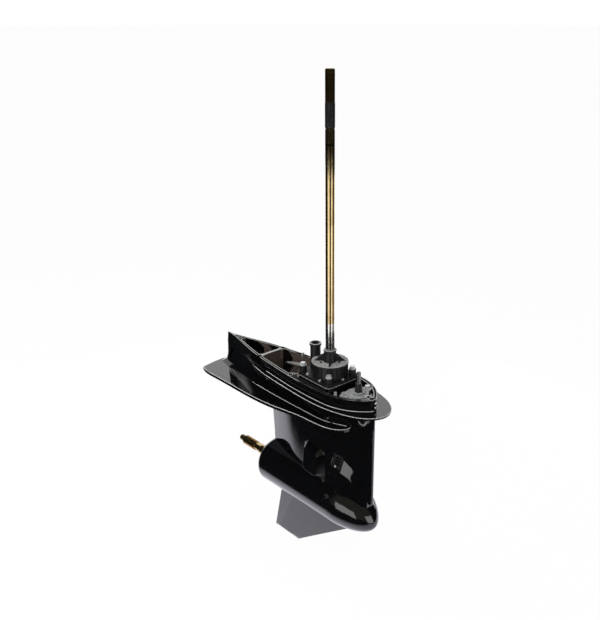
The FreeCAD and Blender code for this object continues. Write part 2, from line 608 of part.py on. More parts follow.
def bevel_gear(own, other, shift, bore, hub_radius, hub_length, jaws):
    """A straight bevel gear about +Z with its pitch apex at the origin."""
    module, width = value("gear_module"), value("face_width")
    angle = math.atan2(own, other)
    reach = module * math.hypot(own, other) / 2
    addendum, dedendum = 0.85 * module, 1.15 * module
    half = math.pi * module / 4 - value("tooth_backlash") / 2

    def spot(lift, side, share):
        radial = reach * math.sin(angle) + lift * math.cos(angle)
        axial = reach * math.cos(angle) - lift * math.sin(angle)
        return Vector(radial * share, side * share, axial * share)

    def section(share):
        outline = ((-dedendum - 0.6, 1.12 * half), (0.0, half), (addendum, 0.42 * half))
        points = [spot(lift, side, share) for lift, side in outline]
        points += [spot(lift, -side, share) for lift, side in reversed(outline)]
        return Part.makePolygon(points + points[:1])

    inner_share = (reach - width) / reach
    tooth = Part.makeLoft([section(inner_share), section(1.0)], True, True)
    teeth = []
    for index in range(int(own)):
        copy = tooth.copy()
        copy.rotate(Vector(), Vector(0, 0, 1), (index + shift) * 360.0 / own)
        teeth.append(copy)
    big, small = spot(-dedendum, 0, 1.0), spot(-dedendum, 0, inner_share)
    heel = big.z + 0.35 * width * math.sin(angle)
    profile = [(small.x, small.z), (big.x, big.z), (big.x, heel), (hub_radius, heel),
               (hub_radius, hub_length), (bore, hub_length)]
    if jaws:
        seat = value("jaw_outer") + 1.0
        profile += [(bore, jaws[1] - 0.5), (seat, jaws[1] - 0.5), (seat, small.z)]
    else:
        profile += [(bore, small.z - 0.2), (small.x, small.z - 0.2)]
    profile = [Vector(x, 0, z) for x, z in profile]
    blank = Part.Face(Part.makePolygon(profile + profile[:1])).revolve(Vector(), Vector(0, 0, 1), 360)
    gear = blank.fuse(teeth)
    if jaws:
        gear = gear.fuse(jaw_ring(jaws[0], jaws[1], 22.5))
    return gear.removeSplitter()


def jaw_ring(low, high, start):
    """Eight straight clutch jaws round the Z axis, between two heights."""
    inner, outer, width = value("jaw_inner"), value("jaw_outer"), value("jaw_width")
    jaws = []
    for index in range(8):
        jaw = Part.makeBox(outer - inner, width, high - low, Vector(inner, -width / 2, low))
        jaw.rotate(Vector(), Vector(0, 0, 1), start + 45.0 * index)
        jaws.append(jaw)
    return jaws


def gears():
    own, other = value("pinion_teeth"), value("gear_teeth")
    pinion = shaped(bevel_gear(own, other, 0.0, value("pinion_seat_radius"), 16.0, 56.0, None), "Pinion")
    recess = rod("10.5", "8", z="26")
    node(place(cut(pinion, recess, "PinionGear"), z="-prop_drop"), "pinion_gear")
    tip = value("dog_half + jaw_height + jaw_gap")
    for label, turn, bore in (("forward_gear", ALONG_X, value("gear_bore")),
                              ("reverse_gear", ALONG_MINUS_X, value("prop_radius") + 0.8)):
        shape = bevel_gear(other, own, 0.5, bore, value("gear_hub_radius"), 19.0 + value("gear_length"),
                           (tip, tip + value("jaw_height") + 0.5))
        node(place(shaped(shape, label), z="-prop_drop", turn=turn), label)


def clutch():
    """The sliding dog, its cross pin, the coil that traps the pin, and the push rod."""
    half = value("dog_half")
    bore = value("prop_radius") + value("run_clearance")
    blank = Part.makeCylinder(value("dog_radius"), 2 * half, Vector(0, 0, -half))
    blank = blank.cut(Part.makeCylinder(value("dog_radius") + 2, 2.6, Vector(0, 0, -1.3)).cut(
        Part.makeCylinder(value("dog_radius") - 1.4, 2.6, Vector(0, 0, -1.3))))
    tall = half + value("jaw_height")
    body = blank.fuse(jaw_ring(half - 0.5, tall, 0.0) + jaw_ring(-tall, 0.5 - half, 0.0))
    body = body.cut(Part.makeCylinder(bore, 2 * tall + 2, Vector(0, 0, -tall - 1)))
    dog = shaped(body.removeSplitter(), "Dog")
    hole = rod("pin_radius", "60", y="-30", turn=ALONG_Y)
    node(place(cut(dog, hole, "ClutchDog"), z="-prop_drop", turn=ALONG_X), "clutch_dog")
    node(rod("pin_radius", "2 * dog_radius - 3", y="-dog_radius + 1.5", z="-prop_drop", turn=ALONG_Y),
         "clutch_cross_pin")
    coil = bind(doc.addObject("Part::Torus", "PinCoil"), Radius1="dog_radius - 0.7", Radius2="0.65")
    node(place(coil, z="-prop_drop", turn=ALONG_X), "clutch_pin_coil")
    rear, front, knob = "-8", "prop_front + 6", "prop_front + 12"
    push_rod = turned("push_rod_blank", [
        ("0", rear), ("slider_radius", rear), ("slider_radius", front), ("neck_radius", front),
        ("neck_radius", knob), ("knob_radius", knob), ("knob_radius", knob + " + 4"),
        ("0", knob + " + 4")], z="-prop_drop", turn=ALONG_X)
    nodes.remove(push_rod)
    cross = rod("pin_radius", "40", y="-20", z="-prop_drop", turn=ALONG_Y)
    node(cut(push_rod, cross, "PushRod"), "shift_push_rod")


def propeller_shaft():
    spline, thread = "prop_spline_radius", "prop_thread_radius"
    blank = turned("prop_shaft_blank", [
        ("0", "-prop_tip"), (thread + " - 1.5", "-prop_tip"), (thread, "-prop_tip + 1.5"),
        (thread, "-prop_spline_rear"), (spline, "-prop_spline_rear"), (spline, "-prop_spline_front"),
        ("prop_radius", "-prop_spline_front + 24"), ("prop_radius", "-52"), ("prop_radius + 2.5", "-52"),
        ("prop_radius + 2.5", "-48.5"), ("prop_radius", "-48.5"), ("prop_radius", "prop_front"),
        ("slider_radius + run_clearance", "prop_front"), ("slider_radius + run_clearance", "-slider_bore_end"),
        ("0", "-slider_bore_end - 3")], z="-prop_drop", turn=ALONG_X)
    nodes.remove(blank)
    slot = block("2 * (pin_radius + clutch_travel + slide_gap)", "60", "2 * pin_radius + 2 * slide_gap",
                 x="-pin_radius - clutch_travel - slide_gap", y="-30", z="-prop_drop - pin_radius - slide_gap")
    cotter = rod("2", "40", x="-prop_tip + 8", y="-20", z="-prop_drop", turn=ALONG_Y)
    node(cut(blank, fused([slot, cotter], "ShaftSlots"), "PropShaft"), "prop_shaft")


def drive_shaft():
    """The long shaft from the engine, splined at its head, stepped at the bearings below."""
    nut_foot = "-prop_drop + 24.5"
    blank = turned("drive_shaft_blank", [
        ("0", nut_foot), ("nut_thread_radius", nut_foot), ("nut_thread_radius", "-prop_drop + 34"),
        ("pinion_seat_radius", "-prop_drop + 34"), ("pinion_seat_radius", "-prop_drop + 56"),
        ("journal_radius", "-prop_drop + 56"), ("journal_radius", "journal_top"),
        ("shaft_radius", "journal_top + 3"),
        ("shaft_radius", "groove_top - groove_width"), ("shaft_radius - groove_depth", "groove_top - groove_width"),
        ("shaft_radius - groove_depth", "groove_top"), ("land_radius", "groove_top"),
        ("land_radius", "shaft_top - shaft_spline_length"), ("shaft_radius", "shaft_top - shaft_spline_length"),
        ("shaft_radius", "shaft_top - 2"), ("shaft_radius - 1.5", "shaft_top"), ("0", "shaft_top")])
    nodes.remove(blank)
    grooves = []
    for index in range(14):
        groove = block("4", "1.8", "shaft_spline_length + 1", x="0", y="0", z="0")
        angle = 360.0 / 14 * index
        turn = Rotation(Vector(0, 0, 1), angle)
        corner = turn.multVec(Vector(value("shaft_radius - spline_depth"), -0.9, 0))
        groove.setExpression(".Placement.Base.x", None)
        groove.setExpression(".Placement.Base.y", None)
        groove.Placement = Placement(corner, turn)
        groove.setExpression(".Placement.Base.z", sized("shaft_top - shaft_spline_length"))
        grooves.append(groove)
    key_seat = block("6", "4", "16", x="shaft_radius - 2", y="-2", z="pump_floor")
    node(cut(blank, fused(grooves + [key_seat], "ShaftCuts"), "DriveShaft"), "drive_shaft")


def drive_line():
    drive_shaft()
    nut = bind(doc.addObject("Part::Prism", "PinionNut"), Circumradius="9.8", Height="7.5")
    nut.Polygon = 6
    nut = cut(nut, rod("nut_thread_radius", "10", z="-1"), "NutBored")
    node(place(nut, z="-prop_drop + 26.5"), "pinion_nut")
    node(block("3.6", "4", "16", x="shaft_radius - 2", y="-2", z="pump_floor"), "impeller_key")
    hub = Part.makeCylinder(value("impeller_hub"), value("impeller_height"))
    vanes = []
    for index in range(6):
        vane = Part.makeBox(value("impeller_radius - 1.6") - 12.0, 3.0, value("impeller_height"),
                            Vector(12.0, 1.5, 0))
        tip = Part.makeCylinder(2.2, value("impeller_height"), Vector(value("impeller_radius") - 2.4, 3, 0))
        vane = vane.fuse(tip)
        vane.rotate(Vector(), Vector(0, 0, 1), 60 * index + 30)
        vanes.append(vane)
    wheel = hub.fuse(vanes).cut(Part.makeCylinder(value("shaft_radius"), 60, Vector(0, 0, -5)))
    wheel = wheel.cut(Part.makeBox(3.6, 4, 60, Vector(value("shaft_radius") - 2, -2, -5)))
    node(place(shaped(wheel, "Impeller"), z="pump_floor"), "impeller")


def needle_bearing(label, inner, outer, length, count, **at):
    """A drawn shell with a ring of needles, each a solid of its own."""
    needle = (value(outer) - value(inner) - 2.0) / 2
    pitch = value(inner) + needle
    shell = Part.makeCylinder(value(outer), value(length)).cut(
        Part.makeCylinder(pitch + needle, value(length)))
    needles = []
    for index in range(count):
        angle = 2 * math.pi * index / count
        needles.append(Part.makeCylinder(needle, value(length) - 2.0,
                                         Vector(pitch * math.cos(angle), pitch * math.sin(angle), 1.0)))
    node(place(shaped(Part.makeCompound([shell] + needles), label), **at), label)


def bearings():
    gap = "run_clearance"
    needle_bearing("lower_needle_bearing", "journal_radius + " + gap, "lower_bearing_radius", "24", 12,
                   z="pinion_bay_height + 1 - prop_drop")
    needle_bearing("carrier_needle_bearing", "prop_radius + " + gap, "carrier_hub - carrier_wall", "22", 14,
                   x="carrier_rear + 20", z="-prop_drop", turn=ALONG_X)
    turned("upper_bearing_cone", [
        ("journal_radius", "upper_bearing_foot + 1"), ("journal_radius + 7.85", "upper_bearing_foot + 1"),
        ("journal_radius + 5", "-26"), ("journal_radius", "-26")])
    turned("upper_bearing_cup", [
        ("journal_radius + 8 + run_clearance * 2", "upper_bearing_foot"),
        ("upper_bearing_radius", "upper_bearing_foot"), ("upper_bearing_radius", "-26"),
        ("journal_radius + 5 + run_clearance * 2", "-26")])
    turned("forward_gear_bush", ring("prop_radius + " + gap, "gear_bore", "20", "44"), z="-prop_drop",
           turn=ALONG_X)
    turned("forward_bearing_cone", [
        ("gear_hub_radius", "31.5"), ("gear_hub_radius + 10", "31.5"), ("gear_hub_radius + 6", "cup_front - 2"),
        ("gear_hub_radius", "cup_front - 2")], z="-prop_drop", turn=ALONG_X)
    turned("forward_bearing_cup", [
        ("gear_hub_radius + 10 + run_clearance * 2", "31.5"), ("cup_radius", "31.5"), ("cup_radius", "cup_front"),
        ("gear_hub_radius + 6 + run_clearance * 2", "cup_front")], z="-prop_drop", turn=ALONG_X)
    low, high = "ball_front - ball_width", "ball_front"
    turned("reverse_bearing_inner", ring("gear_hub_radius", "gear_hub_radius + 5.5", low, high),
           z="-prop_drop", turn=ALONG_X)
    turned("reverse_bearing_outer", ring("ball_outer - 5", "ball_outer", low, high), z="-prop_drop",
           turn=ALONG_X)
    pitch = (value("gear_hub_radius") + 5.5 + value("ball_outer") - 5) / 2
    ball = (value("ball_outer") - 5 - value("gear_hub_radius") - 5.5) / 2 - value("slide_gap")
    middle = value("ball_front") - value("ball_width") / 2
    balls = [Part.makeSphere(ball, Vector(pitch * math.cos(a), pitch * math.sin(a), middle))
             for a in (2 * math.pi * index / 9 for index in range(9))]
    node(place(shaped(Part.makeCompound(balls), "Balls"), z="-prop_drop", turn=ALONG_X), "reverse_bearing_balls")


def carrier():
    """The bearing carrier: front drum, tapered tube, and rear ring on four exhaust spokes."""
    wall = "carrier_wall"
    tube = "carrier_hub - " + wall
    body = turned("carrier_body", [
        (tube, "carrier_rear"), ("carrier_hub", "carrier_rear"), ("carrier_hub", "chamber_rear - 20"),
        ("chamber_radius - 6", "chamber_rear - 2"), ("annulus_radius - 0.5", "chamber_rear - 2"),
        ("annulus_radius - 0.5", "chamber_rear"), ("chamber_radius", "chamber_rear"), ("chamber_radius", "ball_front"),
        ("ball_outer", "ball_front"), ("ball_outer", "ball_front - ball_width"),
        ("ball_outer - 8", "ball_front - ball_width"), ("ball_outer - 8", "ball_front - ball_width - 8"),
        (tube, "chamber_rear - 8")], z="-prop_drop", turn=ALONG_X)
    nodes.remove(body)
    outer = turned("carrier_rim", ring("carrier_ring_inner", "annulus_radius", "carrier_rear", "carrier_rear + 12"),
                   z="-prop_drop", turn=ALONG_X)
    nodes.remove(outer)
    spokes = []
    for index in range(4):
        angle = math.radians(45 + 90 * index)
        spoke = Part.makeBox(12, 7, value("carrier_ring_inner - carrier_hub") + 2,
                             Vector(value("carrier_rear"), -3.5, value("carrier_hub") - 1))
        spoke.rotate(Vector(), Vector(1, 0, 0), math.degrees(angle))
        spokes.append(place(shaped(spoke, "Spoke"), z="-prop_drop"))
    node(fused([body, outer] + spokes, "BearingCarrier"), "bearing_carrier")
    turned("carrier_ring_nut", ring("carrier_ring_inner", "annulus_radius", "carrier_rear - 5.8",
                                    "carrier_rear - 0.8"), z="-prop_drop", turn=ALONG_X)
    turned("carrier_tab_washer", ring("carrier_ring_inner + 1", "annulus_radius", "carrier_rear - 0.8",
                                      "carrier_rear"), z="-prop_drop", turn=ALONG_X)
    seal = ring("prop_radius + run_clearance", tube, "carrier_rear + 2", "carrier_rear + 9")
    second = ring("prop_radius + run_clearance", tube, "carrier_rear + 10", "carrier_rear + 17")
    seals = []
    for profile in (seal, second):
        body = turned("prop_shaft_seal", profile, z="-prop_drop", turn=ALONG_X)
        nodes.remove(body)
        seals.append(body)
    node(group(seals, "PropSeals"), "prop_shaft_seals")


def shift_gear():
    """The shaft from the lever, its cam, and the follower that the cam's peg pushes along."""
    foot = "-prop_drop + follower_radius + 9"
    turned("shift_shaft", [
        ("0", foot), ("shift_radius", foot), ("shift_radius", "boot_top + 2"), ("shift_head_radius", "boot_top + 2"),
        ("shift_head_radius", "shift_top - 1"), ("shift_head_radius - 1", "shift_top"), ("0", "shift_top")],
        x="shift_place")
    web = rod("cam_radius", "8", x="shift_place", z="-prop_drop + follower_radius + 1")
    peg = rod("cam_pin_radius", "follower_radius + 2", x="shift_place", y="cam_offset", z="-prop_drop")
    node(fused([web, peg], "ShiftCam"), "shift_cam")
    rear, front = "prop_front + 6", "shift_place + 12"
    blank = turned("follower_blank", ring("0", "follower_radius", rear, front), z="-prop_drop", turn=ALONG_X)
    nodes.remove(blank)
    reach = "follower_radius + 6"
    groove = block("2 * (cam_pin_radius + slide_gap)", "40", reach, x="shift_place - cam_pin_radius - slide_gap",
                   y="-20", z="-prop_drop - 2")
    neck = block("12", "2 * (neck_radius + slide_gap)", reach, x=rear + " - 2",
                 y="-neck_radius - slide_gap", z="-prop_drop")
    neck_round = rod("neck_radius + slide_gap", "12", x=rear + " - 2", z="-prop_drop", turn=ALONG_X)
    entry = rod("slider_radius + 1", "6", x=rear + " - 2", z="-prop_drop", turn=ALONG_X)
    entry_slot = block("6", "2 * (slider_radius + 1)", reach, x=rear + " - 2", y="-slider_radius - 1", z="-prop_drop")
    knob = block("4 + 2 * slide_gap", "2 * (knob_radius + slide_gap)", reach, x="prop_front + 12 - slide_gap",
                 y="-knob_radius - slide_gap", z="-prop_drop")
    knob_round = rod("knob_radius + slide_gap", "4 + 2 * slide_gap", x="prop_front + 12 - slide_gap",
                     z="-prop_drop", turn=ALONG_X)
    node(cut(blank, fused([groove, neck, neck_round, entry, entry_slot, knob, knob_round], "FollowerCuts"),
             "ShiftFollower"), "shift_follower")


def seal_housing():
    turned("drive_shaft_seal_housing", [
        ("shaft_radius + 3", "-24"), ("upper_bearing_radius", "-24"), ("upper_bearing_radius", "0"),
        ("seal_flange_radius", "0"), ("seal_flange_radius", "pad_height"), ("shaft_radius + 7", "pad_height"),
        ("shaft_radius + 7", "-14"), ("shaft_radius + 3", "-14")])
    seals = []
    for low in ("-13", "-5"):
        body = turned("shaft_seal", ring("shaft_radius + run_clearance", "shaft_radius + 7", low, low + " + 7"))
        nodes.remove(body)
        seals.append(body)
    node(group(seals, "DriveSeals"), "drive_shaft_seals")


def pierced(label, height, thickness, bore):
    """A sheet in the pump flange's outline, with its bolt, dowel and shaft holes."""
    sheet_body = place(extruded(pump_face(), thickness, label + "_blank"), z=height)
    holes = [rod("screw_radius", "20", x=x, y=y, z="-5") for x, y in PUMP_BOLTS]
    holes += [rod("2.5", "20", x=x, y=y, z="-5") for x, y in PUMP_DOWELS]
    holes.append(rod(bore, "20", z="-5"))
    node(cut(sheet_body, fused(holes, label + "_holes"), label), label)


def pump():
    floor = "pad_height + gasket_thickness + pump_plate"
    pierced("pump_gasket", "pad_height", "gasket_thickness", "22")
    pierced("pump_base_plate", "pad_height + gasket_thickness", "pump_plate", "shaft_radius + 1.5")
    flange = place(extruded(pump_face(), "flange_thickness", "PumpFlange"), z=floor)
    drum = turned("pump_drum", [
        ("0", floor), ("pump_body_radius + 2", floor), ("pump_body_radius", "disc_top - disc_thickness"),
        ("disc_radius", "disc_top - disc_thickness"), ("disc_radius", "disc_top"),
        ("collar_radius + 2", "disc_top"), ("collar_radius", "disc_top + 6"), ("collar_radius", "collar_top - 5"),
        ("collar_lip_radius", "collar_top - 3"), ("collar_lip_radius", "collar_top"), ("0", "collar_top")])
    nodes.remove(drum)
    bosses = [rod("boss_radius", "boss_top - (%s)" % floor, x=x, y=y, z=floor) for x, y in PUMP_BOLTS]
    webs = []
    for index in range(4):
        corners = [Vector(10, -1.5, 0), Vector(34, -1.5, 0), Vector(10, -1.5, 20)]
        web = Part.Face(Part.makePolygon(corners + corners[:1])).extrude(Vector(0, 3, 0))
        web.rotate(Vector(), Vector(0, 0, 1), 45 + 90 * index)
        webs.append(place(shaped(web, "NeckWeb"), z="disc_top"))
    ribs = []
    for index in range(-6, 7):
        rib = Part.makeBox(4.6, 2.4, value("disc_top - disc_thickness") - value(floor) - 1,
                           Vector(value("pump_body_radius") - 1, -1.2, 1))
        rib.rotate(Vector(), Vector(0, 0, 1), 18.0 * index)
        ribs.append(place(shaped(rib, "SkirtRib"), z=floor))
    tube = rod("tube_radius", "tube_top - (%s)" % floor, x="-tube_place", z=floor)
    lip = rod("tube_lip_radius", "5", x="-tube_place", z="tube_top - 5")
    solid = fused([flange, drum, tube, lip] + bosses + webs + ribs, "PumpSolid")
    chamber = rod("pump_cup_radius", "pump_cup_top - (%s) + 1" % floor, y="cup_offset", z="(%s) - 1" % floor)
    holes = [rod("screw_radius", "60", x=x, y=y, z="-5") for x, y in PUMP_BOLTS]
    holes += [rod("2.5", "15.4", x=x, y=y, z="-5") for x, y in PUMP_DOWELS]
    bores = fused([chamber, rod("shaft_radius + 0.8", "90"),
                   rod("tube_bore", "60", x="-tube_place", z="20"),
                   rod("tube_bore + 2.4", "14", x="-tube_place", z="tube_top - 12"),
                   rod("5", "24", x="-tube_place", z="26", turn=ALONG_X)] + holes, "PumpBores")
    node(cut(solid, bores, "PumpHousing"), "pump_housing")
    cup = turned("pump_cup", [
        ("pump_cup_radius - pump_cup_wall", floor), ("pump_cup_radius", floor), ("pump_cup_radius", "pump_cup_top"),
        ("shaft_radius + 5", "pump_cup_top"), ("shaft_radius + 5", "pump_cup_top - pump_cup_wall"),
        ("pump_cup_radius - pump_cup_wall", "pump_cup_top - pump_cup_wall")], y="cup_offset")
    drill(cup, [("-24", "0")], "2.5", "20", "pump_cup_top + 1", "Outlet")
    turned("water_tube_seal", ring("tube_bore - 1", "tube_bore + 2.4", "tube_top - 12", "tube_top - 1"),
           x="-tube_place")
    node(group([rod("2.5", "15", x=x, y=y, z="-5") for x, y in PUMP_DOWELS], "PumpDowels"), "pump_dowels")
    node(group(bolts(PUMP_BOLTS, "-20", "boss_top"), "PumpBolts"), "pump_bolts")


def bolts(centres, foot, seat):
    """Hex screws with a washer, head up, each one solid."""
    parts = []
    for x, y in centres:
        shank = rod("screw_radius", "(%s) - (%s) + 1" % (seat, foot), x=x, y=y, z=foot)
        washer = rod("washer_radius", "washer_thickness", x=x, y=y, z=seat)
        head = bind(doc.addObject("Part::Prism", "Head"), Circumradius="head_radius", Height="head_height")
        head.Polygon = 6
        place(head, x=x, y=y, z=seat + " + washer_thickness - 0.1")
        parts.append(fused([shank, washer, head], "Screw"))
    return parts


def shift_cover():
    seat = "-recess_depth"
    top = "cover_thickness - recess_depth"
    parts = [rod("cover_radius", "cover_thickness", x="shift_place - 4", z=seat),
             rod("cover_hub", "6", x="shift_place", z=top + " - 0.5"),
             extruded(cover_ears(0.0), "cover_thickness", "CoverEars")]
    holes = [rod("screw_radius", "30", x=x, y=y, z="-20") for x, y in COVER_SCREWS]
    holes.append(rod("shift_radius + run_clearance", "60", x="shift_place", z="-30"))
    node(cut(fused(parts, "CoverBlank"), fused(holes, "CoverHoles"), "ShiftCover"), "shift_cover")
    node(group(bolts(COVER_SCREWS, "-20", top), "CoverScrews"), "cover_screws")
    foot = top + " + 5.5"
    turned("shift_boot", [
        ("shift_radius + run_clearance", foot), ("boot_radius", foot), ("boot_radius - 0.6", foot + " + 4"),
        ("boot_radius - 2.2", foot + " + 5"), ("boot_radius - 1.2", foot + " + 7"),
        ("boot_radius - 2.4", "boot_top - 3"), ("boot_radius - 2.2", "boot_top"),
        ("shift_radius + run_clearance", "boot_top")], x="shift_place")


def intakes():
    """The louvred covers over the water intakes, one screw each, and the two oil plugs."""
    screws = []
    for side, label in ((-1, "water_inlet_starboard"), (1, "water_inlet_port")):
        plate = block("intake_length", "intake_rise", "intake_plate")
        slots = [block("intake_length - 8", "3", "8", x="4", y="6.5 + 6.6 * %d" % index, z="-2") for index in range(3)]
        hole = rod("1.6", "8", x="intake_length / 2", y="2.6", z="-2")
        cover = cut(plate, fused(slots + [hole], "Louvres"), label + "_plate")
        node(place(cover, **intake_base(side)), label)
        stem = rod("1.6", "intake_plate + 5", x="intake_length / 2", y="2.6", z="-5")
        head = rod("2.6", "1.6", x="intake_length / 2", y="2.6", z="intake_plate")
        screws.append(place(fused([stem, head], "IntakeScrew"), **intake_base(side)))
    node(group(screws, "IntakeScrews"), "intake_screws")


def oil_plugs():
    for label, x, y, z, turn in OIL_PLUGS:
        lean = Rotation(Vector(1, 0, 0), turn)
        stem = rod("4", "10", z="-10")
        head = rod("plug_radius", "2.6")
        slot = block("2 * plug_radius - 3", "1.4", "3", x="1.5 - plug_radius", y="-0.7", z="1.2")
        plug = cut(fused([stem, head], label + "_blank"), slot, label + "_screw")
        node(place(plug, x=x, y=y, z=z, turn=lean), label)


def small_parts():
    dowels = []
    for x, y in DECK_DOWELS:
        stem = rod("dowel_seat_radius", "dowel_depth", x=x, y=y, z="-dowel_depth")
        head = rod("dowel_radius", "dowel_height", x=x, y=y)
        dowels.append(fused([stem, head], "Dowel"))
    node(group(dowels, "Dowels"), "locating_dowels")


sheet.set("B%d" % (len(DIMENSIONS) + 1), "=pad_height + gasket_thickness + pump_plate + 0.6")
sheet.setAlias("B%d" % (len(DIMENSIONS) + 1), "pump_floor")
doc.recompute()

gearcase_housing()
gears()
clutch()
propeller_shaft()
drive_line()
bearings()
carrier()
shift_gear()
seal_housing()
pump()
shift_cover()
intakes()
oil_plugs()
small_parts()
doc.recompute()

for item in doc.Objects:
    if "Invalid" in item.State or "Error" in item.State:
        raise RuntimeError("%s (%s) did not build: %s" % (item.Name, item.Label, item.State))
os.makedirs("parts", exist_ok=True)
for item in nodes:
    if item.Shape.isNull() or not item.Shape.isValid():
        raise RuntimeError(item.Label + " has no valid shape")
    print("%-28s solids %3d volume %10.0f" % (item.Label, len(item.Shape.Solids), item.Shape.Volume))
    item.Shape.exportStep("parts/%s.step" % item.Label)
print(len(nodes), "nodes")
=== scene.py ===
import math

import bpy
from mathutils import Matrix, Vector


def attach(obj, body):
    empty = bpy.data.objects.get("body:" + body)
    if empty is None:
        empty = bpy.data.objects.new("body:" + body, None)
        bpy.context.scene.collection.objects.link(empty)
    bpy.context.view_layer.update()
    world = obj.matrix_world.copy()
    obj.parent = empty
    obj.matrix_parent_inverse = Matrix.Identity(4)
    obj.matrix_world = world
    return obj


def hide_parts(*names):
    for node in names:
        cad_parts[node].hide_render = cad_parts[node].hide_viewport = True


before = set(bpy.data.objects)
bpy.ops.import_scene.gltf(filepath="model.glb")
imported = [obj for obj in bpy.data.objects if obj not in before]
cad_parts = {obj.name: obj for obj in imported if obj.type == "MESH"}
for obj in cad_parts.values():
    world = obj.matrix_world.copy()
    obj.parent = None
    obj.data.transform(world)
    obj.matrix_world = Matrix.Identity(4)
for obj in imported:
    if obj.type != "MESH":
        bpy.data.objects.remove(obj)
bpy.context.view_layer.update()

bpy.ops.object.select_all(action="DESELECT")


# The view. The unit is seen from ahead on its starboard side, a little from above, from about
# 1.65 m away. The long shaft stands near the middle of the frame.
view_turn, view_lift = math.radians(47.4), math.radians(20.5)
view_distance, look_height = 1.652, 0.160
eye_line = Vector((math.sin(view_turn) * math.cos(view_lift),
                   -math.cos(view_turn) * math.cos(view_lift), math.sin(view_lift)))
bpy.ops.object.camera_add(location=Vector((0, 0, look_height)) + view_distance * eye_line,
                          rotation=(math.pi / 2 - view_lift, 0, view_turn))
camera = bpy.context.object
camera.data.lens = 45.7
camera.data.sensor_width = 36
camera.data.shift_x = -0.0484
camera.data.clip_start = 0.05
bpy.context.scene.camera = camera
bpy.context.scene.view_settings.view_transform = "Standard"


# The studio. The floor and the world are white to the camera. Gloss mirrors a room that is bright on
# the far side, dim behind the camera and dark between, over a floor that is bright round the unit.
floor_height, floor_width = -0.478, 200
white, dark_room, olive_room = (1, 1, 1, 1), (0.012, 0.013, 0.014, 1), (0.13, 0.13, 0.105, 1)
bright_wall, bright_floor, air_light = (0.86, 0.86, 0.88, 1), (0.80, 0.79, 0.88, 1), (0.34, 0.34, 0.35, 1)
far_side = (-0.736, 0.677, 0.0)
wall_side, wall_top, back_side = (0.52, 0.74), (0.50, 0.66), (-0.15, -0.45)
bright_reach, bright_start = (0.95, 1.3), (-0.27, -0.15)
low_colour, high_colour, mixed_colour = 6, 7, 2


def shader_node(tree, kind, inputs=None, **settings):
    """Adds a node with its settings. Its inputs are sockets to link or numbers to set."""
    made = tree.nodes.new("ShaderNode" + kind)
    for name, setting in settings.items():
        setattr(made, name, setting)
    for name, given in (inputs or {}).items():
        if isinstance(given, bpy.types.NodeSocket):
            tree.links.new(given, made.inputs[name])
        else:
            made.inputs[name].default_value = given
    return made


def eased_step(tree, number, start, end, low=0.0, high=1.0):
    """A smooth change from low to high while a number goes from start to end."""
    step = shader_node(tree, "MapRange", {"Value": number, "From Min": start, "From Max": end,
                                          "To Min": low, "To Max": high}, interpolation_type="SMOOTHSTEP")
    return step.outputs["Result"]


def times(tree, one, other):
    """The product of two numbers."""
    return shader_node(tree, "Math", {0: one, 1: other}, operation="MULTIPLY").outputs[0]


def blended(tree, share, low, high):
    """A colour that goes from low to high with a share."""
    mix = shader_node(tree, "Mix", {0: share, low_colour: low, high_colour: high}, data_type="RGBA")
    return mix.outputs[mixed_colour]


bpy.ops.mesh.primitive_plane_add(size=floor_width, location=(0, 0, floor_height))
floor = bpy.context.object
floor.name = "studio_floor"
floor_paint = bpy.data.materials.new("floor_paint")
floor_paint.use_nodes = True
tree = floor_paint.node_tree
place = shader_node(tree, "TexCoord").outputs["Object"]
along = shader_node(tree, "SeparateXYZ", {0: place})
reach = shader_node(tree, "VectorMath", {0: place}, operation="LENGTH").outputs["Value"]
near = eased_step(tree, reach, *bright_reach, 1.0, 0.0)
beside = eased_step(tree, along.outputs["Y"], *bright_start)
floor_gloss = blended(tree, times(tree, near, beside), dark_room, bright_floor)
mirrored = shader_node(tree, "Emission", {"Color": floor_gloss})
shown = shader_node(tree, "Emission", {"Color": white, "Strength": 1.0})
path = shader_node(tree, "LightPath")
matte = tree.nodes["Principled BSDF"]
matte.inputs["Base Color"].default_value = (0.84, 0.84, 0.84, 1)
matte.inputs["Roughness"].default_value = 0.9
for_gloss = shader_node(tree, "MixShader", {0: path.outputs["Is Glossy Ray"], 1: matte.outputs[0],
                                            2: mirrored.outputs[0]})
camera_share = times(tree, path.outputs["Is Camera Ray"], 0.97)
for_camera = shader_node(tree, "MixShader", {0: camera_share, 1: for_gloss.outputs[0], 2: shown.outputs[0]})
tree.links.new(for_camera.outputs[0], tree.nodes["Material Output"].inputs["Surface"])
floor.data.materials.append(floor_paint)

room = bpy.data.worlds.new("studio_room")
bpy.context.scene.world = room
room.use_nodes = True
tree = room.node_tree
tree.nodes.clear()
looking = shader_node(tree, "TexCoord").outputs["Generated"]
facing = shader_node(tree, "VectorMath", {0: looking, 1: far_side}, operation="DOT_PRODUCT").outputs["Value"]
height = shader_node(tree, "SeparateXYZ", {0: looking}).outputs["Z"]
low_down = eased_step(tree, height, *wall_top, 1.0, 0.0)
wall = times(tree, eased_step(tree, facing, *wall_side), low_down)
behind = eased_step(tree, facing, *back_side)
gloss_colour = blended(tree, wall, blended(tree, behind, dark_room, olive_room), bright_wall)
path = shader_node(tree, "LightPath")
gloss_share = shader_node(tree, "Math", {0: path.outputs["Is Glossy Ray"],
                                         1: path.outputs["Is Transmission Ray"]}, operation="MAXIMUM")
lit_colour = blended(tree, gloss_share.outputs[0], air_light, gloss_colour)
room_colour = blended(tree, path.outputs["Is Camera Ray"], lit_colour, white)
air = shader_node(tree, "Background", {"Color": room_colour, "Strength": 1.0})
shader_node(tree, "OutputWorld", {"Surface": air.outputs[0]})

